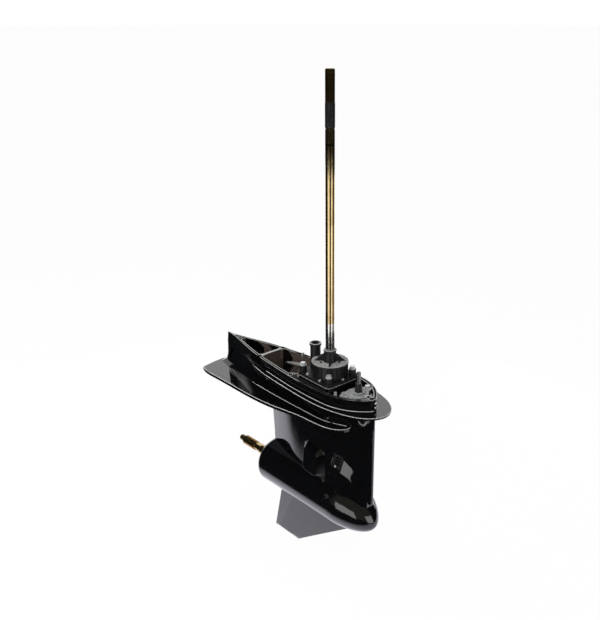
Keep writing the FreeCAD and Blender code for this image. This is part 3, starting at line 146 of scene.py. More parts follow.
aim_height = -0.1
for name, spot, size, power, mirrored_too in (
        ("side_box", (0.30, -1.26, -0.11), (1.08, 0.62), 3.4, True),
        ("bow_box", (1.30, 0.04, -0.11), (0.90, 0.62), 2.9, True),
        ("port_box", (-0.10, 1.30, -0.11), (0.80, 0.62), 2.4, True),
        ("stern_box", (-1.45, 0.40, -0.11), (0.50, 0.62), 1.5, True),
        ("key_fill", (0.9, -1.9, 1.5), (0.9, 0.9), 26.0, False),
        ("top_fill", (-0.5, -0.4, 2.3), (1.8, 1.4), 34.0, False),
        ("stern_fill", (-2.0, -0.9, 0.9), (0.7, 1.4), 16.0, False)):
    spot = Vector(spot)
    aim = Vector((0, 0, spot.z if mirrored_too else aim_height)) - spot
    bpy.ops.object.light_add(type="AREA", location=spot, rotation=aim.to_track_quat("-Z", "Y").to_euler())
    lamp = bpy.context.object
    lamp.name = name
    lamp.data.shape = "RECTANGLE"
    lamp.data.size, lamp.data.size_y = size
    lamp.data.energy = power
    lamp.visible_glossy = mirrored_too


# The gearcase casting: one aluminium casting under a deep gloss black paint. After painting, its deck is
# machined bare along the lips that seal, and its chambers stay rough and brown with old exhaust.
cast_surface = bpy.data.node_groups.new("cast_surface", "ShaderNodeTree")
for name, default in (("Fine", 900.0), ("Broad", 60.0), ("Depth", 0.1), ("Low Roughness", 0.1),
                      ("High Roughness", 0.3)):
    given = cast_surface.interface.new_socket(name=name, in_out="INPUT", socket_type="NodeSocketFloat")
    given.default_value = default
for name, kind in (("Roughness", "Float"), ("Normal", "Vector"), ("Mottle", "Float"), ("Speckle", "Float")):
    cast_surface.interface.new_socket(name=name, in_out="OUTPUT", socket_type="NodeSocket" + kind)
entry, leave = cast_surface.nodes.new("NodeGroupInput"), cast_surface.nodes.new("NodeGroupOutput")
place = shader_node(cast_surface, "TexCoord").outputs["Object"]
fine = shader_node(cast_surface, "TexNoise", {"Vector": place, "Scale": entry.outputs["Fine"], "Detail": 2.0})
broad = shader_node(cast_surface, "TexNoise", {"Vector": place, "Scale": entry.outputs["Broad"],
                                               "Detail": 5.0})
ground = shader_node(cast_surface, "Math", {0: fine.outputs["Fac"], 1: 0.35, 2: broad.outputs["Fac"]},
                     operation="MULTIPLY_ADD")
bump = shader_node(cast_surface, "Bump", {"Distance": 0.0006, "Height": ground.outputs[0],
                                          "Strength": entry.outputs["Depth"]})
spread = shader_node(cast_surface, "MapRange", {"Value": broad.outputs["Fac"],
                                                "From Min": 0.35, "From Max": 0.65,
                                                "To Min": entry.outputs["Low Roughness"],
                                                "To Max": entry.outputs["High Roughness"]})
speckle = eased_step(cast_surface, fine.outputs["Fac"], 0.42, 0.62)
for socket, given in (("Roughness", spread.outputs[0]), ("Normal", bump.outputs[0]),
                      ("Mottle", broad.outputs["Fac"]), ("Speckle", speckle)):
    cast_surface.links.new(given, leave.inputs[socket])


def surfaced(name, colour, fine, broad, depth, low, high, speckle=None, metallic=0.0, **sockets):
    """A material on the cast surface, mottled between two tones of its colour and perhaps speckled.

    Fine and broad are the scales of its noise, depth is its relief, low and high its roughness.
    """
    made = bpy.data.materials.new(name)
    made.use_nodes = True
    tree = made.node_tree
    cast = shader_node(tree, "Group", node_tree=cast_surface)
    for socket, number in (("Fine", fine), ("Broad", broad), ("Depth", depth), ("Low Roughness", low),
                           ("High Roughness", high)):
        cast.inputs[socket].default_value = number
    dark_tone, light_tone = (*(0.7 * c for c in colour), 1), (*(min(1.0, 1.3 * c) for c in colour), 1)
    tone = blended(tree, cast.outputs["Mottle"], dark_tone, light_tone)
    if speckle:
        tone = blended(tree, cast.outputs["Speckle"], tone, (*speckle, 1))
    shader = tree.nodes["Principled BSDF"]
    shader.inputs["Metallic"].default_value = metallic
    for socket, number in sockets.items():
        shader.inputs[socket.replace("_", " ")].default_value = number
    tree.links.new(tone, shader.inputs["Base Color"])
    tree.links.new(cast.outputs["Roughness"], shader.inputs["Roughness"])
    tree.links.new(cast.outputs["Normal"], shader.inputs["Normal"])
    return made


black_paint = surfaced("black_paint", (0.0018, 0.0019, 0.0022), 700.0, 40.0, 0.03, 0.05, 0.12,
                       Coat_Weight=1.0, Coat_Roughness=0.04)
deck_paint = surfaced("deck_paint", (0.008, 0.008, 0.008), 900.0, 70.0, 0.1, 0.5, 0.7,
                      Specular_IOR_Level=0.15)
# Light grey with a little metal: a painted highlight for eased edges and thin ridges, standing in for the
# light they catch.
painted_highlight_edge = surfaced("painted_highlight_edge", (0.50, 0.50, 0.50), 900.0, 60.0, 0.05, 0.3, 0.5, metallic=0.15)
bare_alloy = surfaced("bare_alloy", (0.62, 0.63, 0.58), 1500.0, 90.0, 0.05, 0.22, 0.4, metallic=1.0)
chamber_skin = surfaced("chamber_skin", (0.050, 0.037, 0.030), 900.0, 55.0, 0.6, 0.4, 0.7,
                        speckle=(0.13, 0.10, 0.085))


weld_distance, flat_angle = 0.00002, math.radians(0.4)


def ease_edges(piece, width, angle=30.0, segments=2):
    """Rounds the sharp edges of the active piece, like a cast or moulded part's."""
    bevel = piece.modifiers.new("Eased", "BEVEL")
    bevel.width, bevel.segments = width, segments
    bevel.limit_method, bevel.angle_limit = "ANGLE", math.radians(angle)
    bpy.ops.object.modifier_apply(modifier=bevel.name)


def merged_copy(node, name, width=0.0, angle=30.0, segments=2, dissolve=True):
    """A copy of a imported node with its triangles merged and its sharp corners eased."""
    bpy.ops.object.select_all(action="DESELECT")
    copy = bpy.data.objects.new(name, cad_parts[node].data.copy())
    bpy.context.scene.collection.objects.link(copy)
    copy.select_set(True)
    bpy.context.view_layer.objects.active = copy
    copy.data.materials.clear()
    bpy.ops.object.mode_set(mode="EDIT")
    bpy.ops.mesh.customdata_custom_splitnormals_clear()
    bpy.ops.mesh.select_all(action="SELECT")
    bpy.ops.mesh.remove_doubles(threshold=weld_distance)
    if dissolve:
        bpy.ops.mesh.dissolve_limited(angle_limit=flat_angle)
    bpy.ops.object.mode_set(mode="OBJECT")
    if width:
        ease_edges(copy, width, angle, segments)
    return copy


def shade_round(piece, angle=35.0):
    """Smooth shading that keeps the flats flat beside the eased corners."""
    bpy.ops.object.shade_smooth_by_angle(angle=math.radians(angle))
    weigh = piece.modifiers.new("Weighed", "WEIGHTED_NORMAL")
    weigh.keep_sharp = True
    bpy.ops.object.modifier_apply(modifier=weigh.name)


def pick_faces(piece, test):
    """Selects the faces whose centre and normal pass a test, and leaves the piece in edit mode."""
    bpy.ops.object.mode_set(mode="EDIT")
    bpy.ops.mesh.select_mode(type="FACE")
    bpy.ops.mesh.select_all(action="DESELECT")
    bpy.ops.object.mode_set(mode="OBJECT")
    for face in piece.data.polygons:
        face.select = test(face.center, face.normal)
    bpy.ops.object.mode_set(mode="EDIT")


def clad(piece, body, slot, *replaced):
    """Says which body carries a finished piece, and what it stands for. Its slot is not used."""
    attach(piece, body)
    if replaced:
        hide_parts(*replaced)


rim_half = ((-0.376, 0.0), (-0.312, 0.0124), (-0.248, 0.0296), (-0.150, 0.0466), (-0.050, 0.0573),
            (0.016, 0.0592), (0.061, 0.0559), (0.101, 0.0391), (0.126, 0.0178), (0.135, 0.0))
wall_width, lip_width, eased_width = 0.0065, 0.0017, 0.0010
chamber_floor, chamber_top, chamber_front = -0.0585, -0.0009, -0.0715
rib_place, rib_half_width, tail_land = -0.203, 0.0035, -0.342
plate_tops, foot_of_plates, plate_tolerance, painted_highlight_depth = (-0.0245, -0.0710), -0.0800, 0.0003, 0.0011
band_half_width, bow_plates = 0.045, 0.06
dish_place, dish_reach, dish_rim, dish_face = (0.116, -0.046), (0.0095, 0.0152), 0.018, 0.0155
in_paint, in_alloy, in_skin, in_deck_paint, in_painted_highlight = range(5)


def within_rim(spot):
    """Whether a spot lies inside the deck's rim, seen from above."""
    for (rear, thin), (front, thick) in zip(rim_half, rim_half[1:]):
        if rear <= spot.x <= front:
            half = thin + (thick - thin) * (spot.x - rear) / (front - rear)
            return abs(spot.y) < half - wall_width
    return False


def in_chamber(face):
    """Whether a face is a wall or a floor of the two chambers behind the pump."""
    inward = face.normal.y * face.center.y <= 0.0 or abs(face.normal.y) < 0.02
    low = chamber_floor < face.center.z < chamber_top
    return low and inward and within_rim(face.center) and face.center.x < chamber_front


def at_deck(spot, normal):
    """Whether a face is on the machined top of the deck."""
    return abs(spot.z) < 0.00005 and normal.z > 0.99


def round_dish(spot):
    """Whether a spot is on the ring of the round boss dishes at the front of the strut."""
    reach = math.hypot(spot.x - dish_place[0], spot.z - dish_place[1])
    return dish_reach[0] < reach < dish_reach[1]


def is_eased(edge):
    """Whether a sharp edge of the casting is on a plate's top, below the plates or round a dish."""
    middle = sum((casting.data.vertices[end].co for end in edge.vertices), Vector()) / 2
    on_plate = any(abs(middle.z - top) < plate_tolerance for top in plate_tops)
    return on_plate or middle.z < foot_of_plates or (abs(middle.y) > dish_face and round_dish(middle))


def beside_deck(face):
    """Whether a face is an edge of the machined deck, which is bare too."""
    at_top = -0.0012 < face.center.z < 0.0001
    return at_top and face.normal.z > 0.2 and face.material_index != in_deck_paint


def painted_highlight_dish(face):
    """Whether a face is on the lower eased edge of a boss dish, where a painted highlight goes."""
    below = abs(face.center.y) > dish_rim and face.center.z < dish_place[1]
    return below and 0.2 < abs(face.normal.y) < 0.95 and round_dish(face.center) and face.area < 6e-6


def painted_highlight_plate(face):
    """Whether a face in the black paint lies on the plates' own eased edges, clear of the tub between them,
    where a painted highlight goes.
    """
    slanted = 0.25 < abs(face.normal.z) < 0.97
    on_top = any(abs(face.center.z - level) < painted_highlight_depth for level in plate_tops)
    outboard = abs(face.center.y) > band_half_width or face.center.x > bow_plates
    return slanted and on_top and outboard and face.material_index == in_paint and face.area < 3e-4


casting = merged_copy("gearcase_housing", "casting", dissolve=False)
for finish in (black_paint, bare_alloy, chamber_skin, deck_paint, painted_highlight_edge):
    casting.data.materials.append(finish)
for face in casting.data.polygons:
    if in_chamber(face):
        face.material_index = in_skin
pick_faces(casting, at_deck)
bpy.ops.mesh.inset(thickness=lip_width, use_boundary=True, use_even_offset=True)
casting.active_material_index = in_deck_paint
bpy.ops.object.material_slot_assign()
bpy.ops.object.mode_set(mode="OBJECT")
for face in casting.data.polygons:
    if at_deck(face.center, face.normal):
        whole = abs(face.center.x - rib_place) < rib_half_width or face.center.x < tail_land
        face.material_index = in_deck_paint if face.select and not whole else in_alloy
bpy.ops.object.mode_set(mode="EDIT")
bpy.ops.mesh.select_all(action="SELECT")
bpy.ops.mesh.dissolve_limited(angle_limit=flat_angle, delimit={"NORMAL", "MATERIAL"})
bpy.ops.mesh.select_mode(type="EDGE")
bpy.ops.mesh.select_all(action="DESELECT")
bpy.ops.mesh.edges_select_sharp(sharpness=math.radians(30))
bpy.ops.object.mode_set(mode="OBJECT")
weights = casting.data.attributes.new("bevel_weight_edge", "FLOAT", "EDGE")
for edge in casting.data.edges:
    if edge.select and is_eased(edge):
        weights.data[edge.index].value = 1.0
bevel = casting.modifiers.new("Eased", "BEVEL")
bevel.width, bevel.segments = eased_width, 2
bevel.limit_method, bevel.use_clamp_overlap = "WEIGHT", False
bpy.ops.object.modifier_apply(modifier=bevel.name)
# The upward eased faces beside the deck are bare alloy. The lower eased rims of the boss dishes and the eased
# edges of the plates take the light grey of a painted highlight.
for face in casting.data.polygons:
    if beside_deck(face):
        face.material_index = in_alloy
    elif painted_highlight_dish(face) or painted_highlight_plate(face):
        face.material_index = in_painted_highlight
shade_round(casting, 17.0)
clad(casting, "gearcase", "black_paint", "gearcase_housing")


# Cast details in the two deck chambers: the stub of a water passage along the port wall, and the ledge
# blocks at the tail. They are part of the casting, left rough as they came out of the sand.
def rod_between(name, start, end, radius, sides=24):
    """A round bar from one place to another, with its object left at the origin."""
    start, end = Vector(start), Vector(end)
    bpy.ops.object.select_all(action="DESELECT")
    bpy.ops.mesh.primitive_cylinder_add(vertices=sides, radius=radius, depth=(end - start).length,
                                        location=(start + end) / 2,
                                        rotation=(end - start).to_track_quat("Z", "Y").to_euler())
    bar = bpy.context.object
    bar.name = name
    bpy.ops.object.transform_apply(location=True, rotation=True, scale=True)
    return bar


chamber_alloy = surfaced("chamber_alloy", (0.20, 0.195, 0.18), 700.0, 60.0, 0.5, 0.4, 0.7,
                         speckle=(0.34, 0.33, 0.30))
passage_rear, passage_front = (-0.196, 0.0385, -0.0335), (-0.134, 0.0405, -0.026)
passage_radius, passage_wall, passage_depth = 0.0052, 0.0022, 0.002
passage = rod_between("chamber_passage", passage_rear, passage_front, passage_radius)
pick_faces(passage, lambda spot, normal: normal.x < -0.9)
bpy.ops.mesh.inset(thickness=passage_wall)
bpy.ops.mesh.extrude_region_shrink_fatten(TRANSFORM_OT_shrink_fatten={"value": -passage_depth})
bpy.ops.object.mode_set(mode="OBJECT")
ease_edges(passage, 0.0012)
shade_round(passage)
passage.data.materials.append(chamber_alloy)
clad(passage, "gearcase", "black_paint")

ledge_lip, ledge_slope = 0.003, (0.002, 0, -0.004)
for name, spot, size in (("tail_ledge_port", (-0.302, 0.0100, -0.040), (0.030, 0.012, 0.032)),
                         ("tail_ledge_middle", (-0.272, 0.0130, -0.043), (0.024, 0.016, 0.026)),
                         ("tail_ledge_foot", (-0.238, 0.0180, -0.047), (0.030, 0.018, 0.018))):
    bpy.ops.object.select_all(action="DESELECT")
    bpy.ops.mesh.primitive_cube_add(size=1, location=spot, scale=size)
    ledge = bpy.context.object
    ledge.name = name
    bpy.ops.object.transform_apply(location=True, rotation=True, scale=True)
    pick_faces(ledge, lambda spot, normal: normal.z > 0.9)
    bpy.ops.mesh.inset(thickness=ledge_lip)
    bpy.ops.transform.translate(value=ledge_slope)
    bpy.ops.object.mode_set(mode="OBJECT")
    ease_edges(ledge, 0.0016, segments=3)
    shade_round(ledge)
    ledge.data.materials.append(chamber_skin)
    clad(ledge, "gearcase", "black_paint")


# Outside details: the ridge cast on each flank between the band and the plate, light grey as a painted
# highlight, and the two stainless studs at the nose that take the earth strap.
ridge_radius = 0.0014
for side, name in ((-1, "flank_ridge_starboard"), (1, "flank_ridge_port")):
    ridge_top, ridge_foot = (-0.1660, side * 0.0432, -0.0305), (-0.1625, side * 0.0455, -0.0690)
    ridge = rod_between(name, ridge_top, ridge_foot, ridge_radius, 12)
    ease_edges(ridge, 0.0007)
    shade_round(ridge)
    ridge.data.materials.append(painted_highlight_edge)
    clad(ridge, "gearcase", "black_paint")

stainless = surfaced("stainless", (0.86, 0.86, 0.84), 1800.0, 120.0, 0.04, 0.15, 0.3, metallic=0.72)
stud_foot, stud_head, stud_radius, stud_rim, stud_crown = 0.1315, 0.1392, 0.0030, 0.0011, 0.0009
for name, height in (("earth_stud_upper", -0.0065), ("earth_stud_lower", -0.0165)):
    stud = rod_between(name, (stud_foot, 0, height), (stud_head, 0, height), stud_radius, 20)
    pick_faces(stud, lambda spot, normal: normal.x > 0.9)
    bpy.ops.mesh.inset(thickness=stud_rim)
    bpy.ops.transform.translate(value=(stud_crown, 0, 0))
    bpy.ops.object.mode_set(mode="OBJECT")
    ease_edges(stud, 0.0004)
    shade_round(stud)
    stud.data.materials.append(stainless)
    clad(stud, "gearcase", "steel")


# The drive shaft: a long stainless bar, gold with heat and oil, ground bright where it runs in the pump
# and under the spline at its head.
turned_metal = bpy.data.node_groups.new("turned_metal", "ShaderNodeTree")
turned_metal.interface.new_socket(name="Stretch", in_out="INPUT", socket_type="NodeSocketVector")
for name, kind in (("Roughness", "Float"), ("Normal", "Vector"), ("Tint", "Float")):
    turned_metal.interface.new_socket(name=name, in_out="OUTPUT", socket_type="NodeSocket" + kind)
entry, leave = turned_metal.nodes.new("NodeGroupInput"), turned_metal.nodes.new("NodeGroupOutput")
place = shader_node(turned_metal, "TexCoord").outputs["Object"]
stretched = shader_node(turned_metal, "VectorMath", {0: place, 1: entry.outputs["Stretch"]},
                        operation="MULTIPLY")
lines = shader_node(turned_metal, "TexNoise", {"Vector": stretched.outputs[0], "Scale": 1.0, "Detail": 3.0})
stains = shader_node(turned_metal, "TexNoise", {"Vector": place, "Scale": 24.0, "Detail": 4.0})
bump = shader_node(turned_metal, "Bump", {"Distance": 0.0001, "Height": lines.outputs["Fac"],
                                          "Strength": 0.03})
grain = eased_step(turned_metal, lines.outputs["Fac"], 0.3, 0.7, 0.08, 0.16)
for socket, given in (("Roughness", grain), ("Normal", bump.outputs[0]), ("Tint", stains.outputs["Fac"])):
    turned_metal.links.new(given, leave.inputs[socket])
oil_stain = (0.30, 0.17, 0.07, 1)


def banded(name, axis, stretch, start, end, bands):
    """A turned metal whose colour changes along an axis, in bands given by their start and colour."""
    made = bpy.data.materials.new(name)
    made.use_nodes = True
    tree = made.node_tree
    turned = shader_node(tree, "Group", node_tree=turned_metal)
    turned.inputs["Stretch"].default_value = stretch
    along = shader_node(tree, "SeparateXYZ", {0: shader_node(tree, "TexCoord").outputs["Object"]})
    share = shader_node(tree, "MapRange", {"Value": along.outputs[axis], "From Min": start, "From Max": end})
    ramp = shader_node(tree, "ValToRGB", {"Fac": share.outputs[0]})
    ramp.color_ramp.interpolation = "CONSTANT"
    for index, (place, colour) in enumerate(bands):
        at = (place - start) / (end - start)
        step = ramp.color_ramp.elements[index] if index < 2 else ramp.color_ramp.elements.new(at)
        step.position = at
        step.color = (*colour, 1)
    stain_share = eased_step(tree, turned.outputs["Tint"], 0.4, 0.7, 0.0, 0.45)
    stained = shader_node(tree, "Mix", {0: stain_share, low_colour: ramp.outputs["Color"],
                                        high_colour: oil_stain}, data_type="RGBA", blend_type="MULTIPLY")
    shader = tree.nodes["Principled BSDF"]
    shader.inputs["Metallic"].default_value = 1.0
    tree.links.new(stained.outputs[mixed_colour], shader.inputs["Base Color"])
    tree.links.new(turned.outputs["Roughness"], shader.inputs["Roughness"])
    tree.links.new(turned.outputs["Normal"], shader.inputs["Normal"])
    return made


gold, spline_gold, ground_steel = (0.66, 0.50, 0.26), (0.62, 0.42, 0.17), (0.86, 0.85, 0.80)
dull_steel, seal_steel, groove_shade = (0.60, 0.58, 0.55), (0.62, 0.62, 0.58), (0.10, 0.08, 0.05)
shaft_foot, shaft_head, collar_top, journal_foot, journal_top = -0.30, 0.66, 0.071, 0.085, 0.129
low_groove, high_groove, spline_foot = (0.5015, 0.503), (0.533, 0.536), 0.584
drive_steel = banded("drive_steel", "Z", (40.0, 40.0, 2200.0), shaft_foot, shaft_head, (
    (shaft_foot, dull_steel), (collar_top, seal_steel), (journal_foot, ground_steel), (journal_top, gold),
    (low_groove[0], groove_shade), (low_groove[1], gold), (high_groove[0], groove_shade),
    (high_groove[1], ground_steel), (spline_foot, spline_gold)))
drive_shaft = merged_copy("drive_shaft", "drive_shaft_turned", 0.0003, 40.0, 1)
shade_round(drive_shaft, 40.0)
drive_shaft.data.materials.append(drive_steel)
clad(drive_shaft, "drive_line", "gold_steel", "drive_shaft")


# The propeller shaft: stainless, gold with use. Its splines carry the propeller, and the thread behind
# them takes the nut, with a hole for the cotter pin.
thread_gold, tooth_gold, taper_gold = (0.40, 0.31, 0.18), (0.72, 0.50, 0.22), (0.88, 0.66, 0.34)
shaft_tail, thread_front, taper_rear, taper_front, shaft_nose = -0.35, -0.320, -0.272, -0.2, 0.06
prop_steel = banded("prop_steel", "X", (2200.0, 40.0, 40.0), shaft_tail, shaft_nose, (
    (shaft_tail, thread_gold), (thread_front, tooth_gold), (taper_rear, taper_gold),
    (taper_front, (0.62, 0.60, 0.56))))
prop_shaft = merged_copy("prop_shaft", "prop_shaft_turned", 0.0003, 40.0, 1)
shade_round(prop_shaft, 40.0)
prop_shaft.data.materials.append(prop_steel)
clad(prop_shaft, "propeller_shaft", "gold_steel", "prop_shaft")

shaft_height, spline_teeth, spline_root, spline_height, spline_flank = -0.283, 13, 0.0098, 0.0018, 0.0002
spline_middle, spline_length = -0.2965, 0.046
bpy.ops.object.select_all(action="DESELECT")
bpy.ops.mesh.primitive_cylinder_add(vertices=2 * spline_teeth, radius=spline_root, depth=spline_length,
                                    location=(spline_middle, 0, shaft_height), rotation=(0, math.pi / 2, 0))
spline = bpy.context.object
spline.name = "prop_shaft_spline"
bpy.ops.object.transform_apply(location=True, rotation=True, scale=True)
sides = [face for face in spline.data.polygons if abs(face.normal.x) < 0.5]
sides.sort(key=lambda face: math.atan2(face.center.z - shaft_height, face.center.y))
teeth = {face.index for face in sides[::2]}
pick_faces(spline, lambda spot, normal: False)
bpy.ops.object.mode_set(mode="OBJECT")
for face in spline.data.polygons:
    face.select = face.index in teeth
bpy.ops.object.mode_set(mode="EDIT")
bpy.ops.mesh.inset(thickness=spline_flank, use_individual=True)
bpy.ops.mesh.extrude_faces_move(TRANSFORM_OT_shrink_fatten={"value": spline_height})
bpy.ops.object.mode_set(mode="OBJECT")
ease_edges(spline, 0.00025, segments=1)
shade_round(spline)
spline.data.materials.append(prop_steel)
clad(spline, "propeller_shaft", "gold_steel")

thread_pitch, thread_turns, thread_depth, thread_radius, thread_start = 0.0018, 8, 0.0009, 0.00645, -0.3212
bpy.ops.object.select_all(action="DESELECT")
bpy.ops.mesh.primitive_circle_add(vertices=3, radius=thread_depth, location=(0, 0, thread_radius),
                                  rotation=(math.pi / 2, 0, 0))
thread = bpy.context.object
thread.name = "prop_shaft_thread"
bpy.ops.object.transform_apply(location=True, rotation=True, scale=True)
winding = thread.modifiers.new("Winding", "SCREW")
winding.axis = "X"
winding.screw_offset, winding.iterations = -thread_pitch, thread_turns
winding.steps = winding.render_steps = 28
bpy.ops.object.modifier_apply(modifier=winding.name)
bpy.ops.object.mode_set(mode="EDIT")
bpy.ops.mesh.select_all(action="SELECT")
bpy.ops.transform.translate(value=(thread_start, 0, shaft_height))
bpy.ops.mesh.remove_doubles(threshold=0.00001)
bpy.ops.mesh.select_mode(type="EDGE")
bpy.ops.mesh.select_all(action="DESELECT")
bpy.ops.mesh.select_non_manifold(extend=False)
bpy.ops.mesh.edge_face_add()
bpy.ops.mesh.select_all(action="SELECT")
bpy.ops.mesh.normals_make_consistent(inside=False)
bpy.ops.object.mode_set(mode="OBJECT")
bpy.ops.object.shade_smooth_by_angle(angle=math.radians(35))
thread.data.materials.append(prop_steel)
clad(thread, "propeller_shaft", "gold_steel")


# The water pump: a moulded nylon housing, matte black, over a steel plate and a gasket. Its cap's flat top is
# paler and speckled, and the rim round it, the upward faces beside it and the neck's top are light grey, a
# painted highlight. Four hex screws hold it, and the water tube stands behind it.
pump_nylon = surfaced("pump_nylon", (0.0085, 0.0085, 0.0085), 1100.0, 90.0, 0.25, 0.34, 0.52,
                      Specular_IOR_Level=0.45)
pump_cap = surfaced("pump_cap", (0.13, 0.13, 0.127), 620.0, 90.0, 0.35, 0.4, 0.6,
                    speckle=(0.38, 0.38, 0.37))
pump_highlight_grey = surfaced("pump_highlight_grey", (0.34, 0.34, 0.33), 900.0, 90.0, 0.2, 0.35, 0.5)
cap_height, cap_radius, cap_lip, web_rear, neck_top = 0.0442, 0.0385, 0.0012, -0.040, 0.0700
on_cap, on_highlight = 1, 2
pump = merged_copy("pump_housing", "pump_moulding")
for finish in (pump_nylon, pump_cap, pump_highlight_grey):
    pump.data.materials.append(finish)
pick_faces(pump, lambda spot, normal: abs(spot.z - cap_height) < 0.0001 and normal.z > 0.99)
bpy.ops.mesh.inset(thickness=cap_lip, use_boundary=True)
bpy.ops.object.mode_set(mode="OBJECT")
ease_edges(pump, 0.0006)
# The cap's flat top is paler grey; its rim, the upward faces beside it and the neck's top are a light grey
# painted highlight.
for face in pump.data.polygons:
    outward = math.hypot(face.center.x, face.center.y)
    flat, upward = face.normal.z > 0.9, face.normal.z > 0.2
    beside_cap = 0.0395 < face.center.z < 0.0445 and outward > cap_radius and face.center.x > web_rear
    if abs(face.center.z - cap_height) < 0.0002 and flat:
        face.material_index = on_cap if outward < cap_radius else on_highlight
    elif upward and (beside_cap or face.center.z > neck_top):
        face.material_index = on_highlight
shade_round(pump)
clad(pump, "gearcase", "pump_plastic", "pump_housing")

# Moulded details of the pump: short round keys in the same nylon about its neck beside the webs, and small
# dished bosses on its flange where the mould's pins stood, these light grey as a painted highlight.
key_count, key_circle, key_height, key_radius = 6, 0.0225, 0.0022, 0.0021
for index in range(key_count):
    turn = math.radians(18 + 360 / key_count * index)
    spot = Vector((key_circle * math.cos(turn), key_circle * math.sin(turn), cap_height))
    key = rod_between("cap_key_%d" % index, spot, spot + Vector((0, 0, key_height)), key_radius, 16)
    ease_edges(key, 0.0005)
    shade_round(key)
    key.data.materials.append(pump_nylon)
    clad(key, "gearcase", "pump_plastic")
boss_foot, boss_top, boss_radius, boss_lip, boss_dish = 0.0110, 0.0150, 0.0030, 0.0012, 0.0010
for index, (x, y) in enumerate(((0.012, -0.0405), (-0.030, -0.0385), (0.0405, 0.0), (-0.030, 0.0385))):
    boss = rod_between("flange_boss_%d" % index, (x, y, boss_foot), (x, y, boss_top), boss_radius, 20)
    pick_faces(boss, lambda spot, normal: normal.z > 0.9)
    bpy.ops.mesh.inset(thickness=boss_lip)
    bpy.ops.transform.translate(value=(0, 0, -boss_dish))
    bpy.ops.object.mode_set(mode="OBJECT")
    ease_edges(boss, 0.0004)
    shade_round(boss)
    boss.data.materials.append(pump_highlight_grey)
    clad(boss, "gearcase", "pump_plastic")


# The screws, all stainless, with corners eased as they come from the former. Four hex heads on washers
# hold the pump and two the shift shaft's cover, and a small round head holds each inlet grille.
for node, name in (("pump_bolts", "pump_screws"), ("cover_screws", "cover_screws_turned"),
                   ("intake_screws", "intake_screws_turned")):
    screws = merged_copy(node, name, 0.0005, 40.0, 2)
    shade_round(screws)
    screws.data.materials.append(stainless)
    clad(screws, "gearcase", "steel", node)


# The shift shaft's cover: a small alloy casting, grey and speckled, with the ribbed rubber boot that
# keeps water off the shaft.
cover_grey = surfaced("cover_grey", (0.15, 0.155, 0.155), 520.0, 80.0, 0.5, 0.4, 0.6,
                      speckle=(0.42, 0.425, 0.42))
cover = merged_copy("shift_cover", "shift_cover_casting", 0.0008)
shade_round(cover)
cover.data.materials.append(cover_grey)
clad(cover, "gearcase", "cover_alloy", "shift_cover")

soft_rubber = surfaced("soft_rubber", (0.012, 0.012, 0.013), 1300.0, 150.0, 0.3, 0.4, 0.6)
boot_place, boot_foot, boot_lip, boot_radius = 0.088, 0.0026, 0.0207, 0.0080
boot_rings, boot_ribs, boot_taper, rib_share, widest = 16, 4, 0.22, 0.085, 1.04
boot_length = boot_lip - boot_foot
bpy.ops.object.select_all(action="DESELECT")
bpy.ops.mesh.primitive_cylinder_add(vertices=40, radius=boot_radius, depth=boot_length,
                                    location=(boot_place, 0, (boot_foot + boot_lip) / 2))
boot = bpy.context.object
boot.name = "ribbed_boot"
bpy.ops.object.transform_apply(location=True, rotation=True, scale=True)
bpy.ops.object.mode_set(mode="EDIT")
for cut in range(1, boot_rings):
    bpy.ops.mesh.select_all(action="SELECT")
    ring_height = boot_foot + boot_length * cut / boot_rings
    bpy.ops.mesh.bisect(plane_co=(boot_place, 0, ring_height), plane_no=(0, 0, 1))
bpy.ops.object.mode_set(mode="OBJECT")
for vertex in boot.data.vertices:
    share = (vertex.co.z - boot_foot) / boot_length
    wave = 1.0 + rib_share * math.cos(share * boot_ribs * 2 * math.pi)
    size = min(widest, (1.0 - boot_taper * share) * wave)
    vertex.co.x = boot_place + (vertex.co.x - boot_place) * size
    vertex.co.y *= size
ease_edges(boot, 0.0004, 50.0)
shade_round(boot, 60.0)
boot.data.materials.append(soft_rubber)
clad(boot, "gearcase", "rubber", "shift_boot")

shift_rod = merged_copy("shift_shaft", "shift_rod", 0.0003)
shade_round(shift_rod)
rod_steel = surfaced("rod_steel", (0.30, 0.30, 0.29), 1500.0, 90.0, 0.05, 0.2, 0.4, metallic=1.0)
shift_rod.data.materials.append(rod_steel)
clad(shift_rod, "shift_gear", "steel", "shift_shaft")


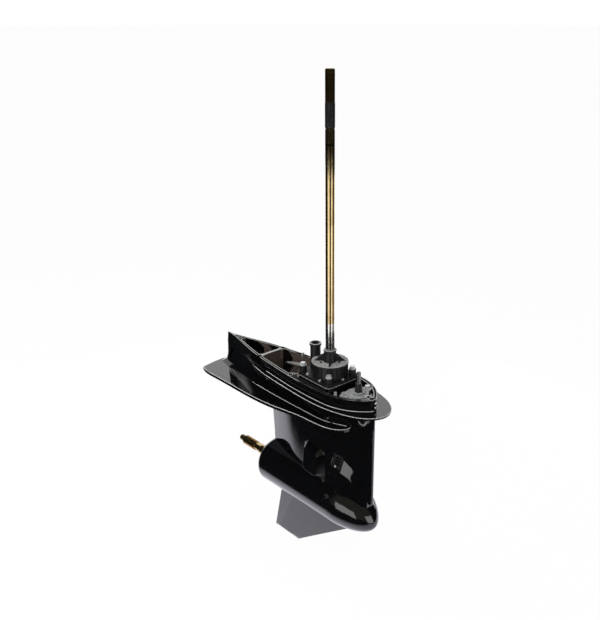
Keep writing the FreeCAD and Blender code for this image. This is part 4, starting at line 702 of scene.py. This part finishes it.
# The water intakes, the oil plugs, the dowels and the bearing carrier are shown as packed, with their
# corners eased. The inlets are nylon, the plugs dull steel, and the carrier is painted with the case.
inlet_nylon = surfaced("inlet_nylon", (0.012, 0.012, 0.013), 900.0, 80.0, 0.1, 0.2, 0.34)
carrier_black = surfaced("carrier_black", (0.012, 0.012, 0.013), 600.0, 60.0, 0.2, 0.25, 0.45)
for node, name, width, finish, slot in (
        ("water_inlet_starboard", "inlet_grille_starboard", 0.0004, inlet_nylon, "nylon"),
        ("water_inlet_port", "inlet_grille_port", 0.0004, inlet_nylon, "nylon"),
        ("drain_plug", "drain_screw", 0.0004, rod_steel, "steel"),
        ("level_plug", "level_screw", 0.0004, rod_steel, "steel"),
        ("locating_dowels", "deck_dowels", 0.0005, stainless, "steel"),
        ("bearing_carrier", "carrier_casting", 0.0008, carrier_black, "carrier_paint"),
        ("carrier_ring_nut", "carrier_nut", 0.0004, stainless, "steel")):
    shown_part = merged_copy(node, name, width)
    shade_round(shown_part)
    shown_part.data.materials.append(finish)
    clad(shown_part, "gearcase", slot, node)


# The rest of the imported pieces, mostly inside: gears, bearings, clutch, seals and gaskets. Each keeps its
# shape and takes the finish of its material.
gear_steel = surfaced("gear_steel", (0.30, 0.29, 0.28), 1200.0, 80.0, 0.06, 0.18, 0.34, metallic=1.0)
bearing_steel = surfaced("bearing_steel", (0.62, 0.62, 0.63), 2000.0, 90.0, 0.03, 0.08, 0.2, metallic=1.0)
brass = surfaced("brass", (0.70, 0.50, 0.20), 1500.0, 90.0, 0.05, 0.18, 0.35, metallic=1.0)
gasket_paper = surfaced("gasket_paper", (0.055, 0.050, 0.042), 1400.0, 120.0, 0.4, 0.6, 0.8,
                        speckle=(0.10, 0.09, 0.075))
finishes = {
    "black_paint": black_paint, "carrier_paint": carrier_black, "pump_plastic": pump_nylon,
    "cover_alloy": cover_grey, "gold_steel": prop_steel, "steel": stainless, "rubber": soft_rubber,
    "nylon": inlet_nylon, "gear_steel": gear_steel, "bearing_steel": bearing_steel, "brass": brass,
    "gasket": gasket_paper}
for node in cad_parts.values():
    for index, packed in enumerate(list(node.data.materials)):
        node.data.materials[index] = finishes[packed.name.split(".")[0]]
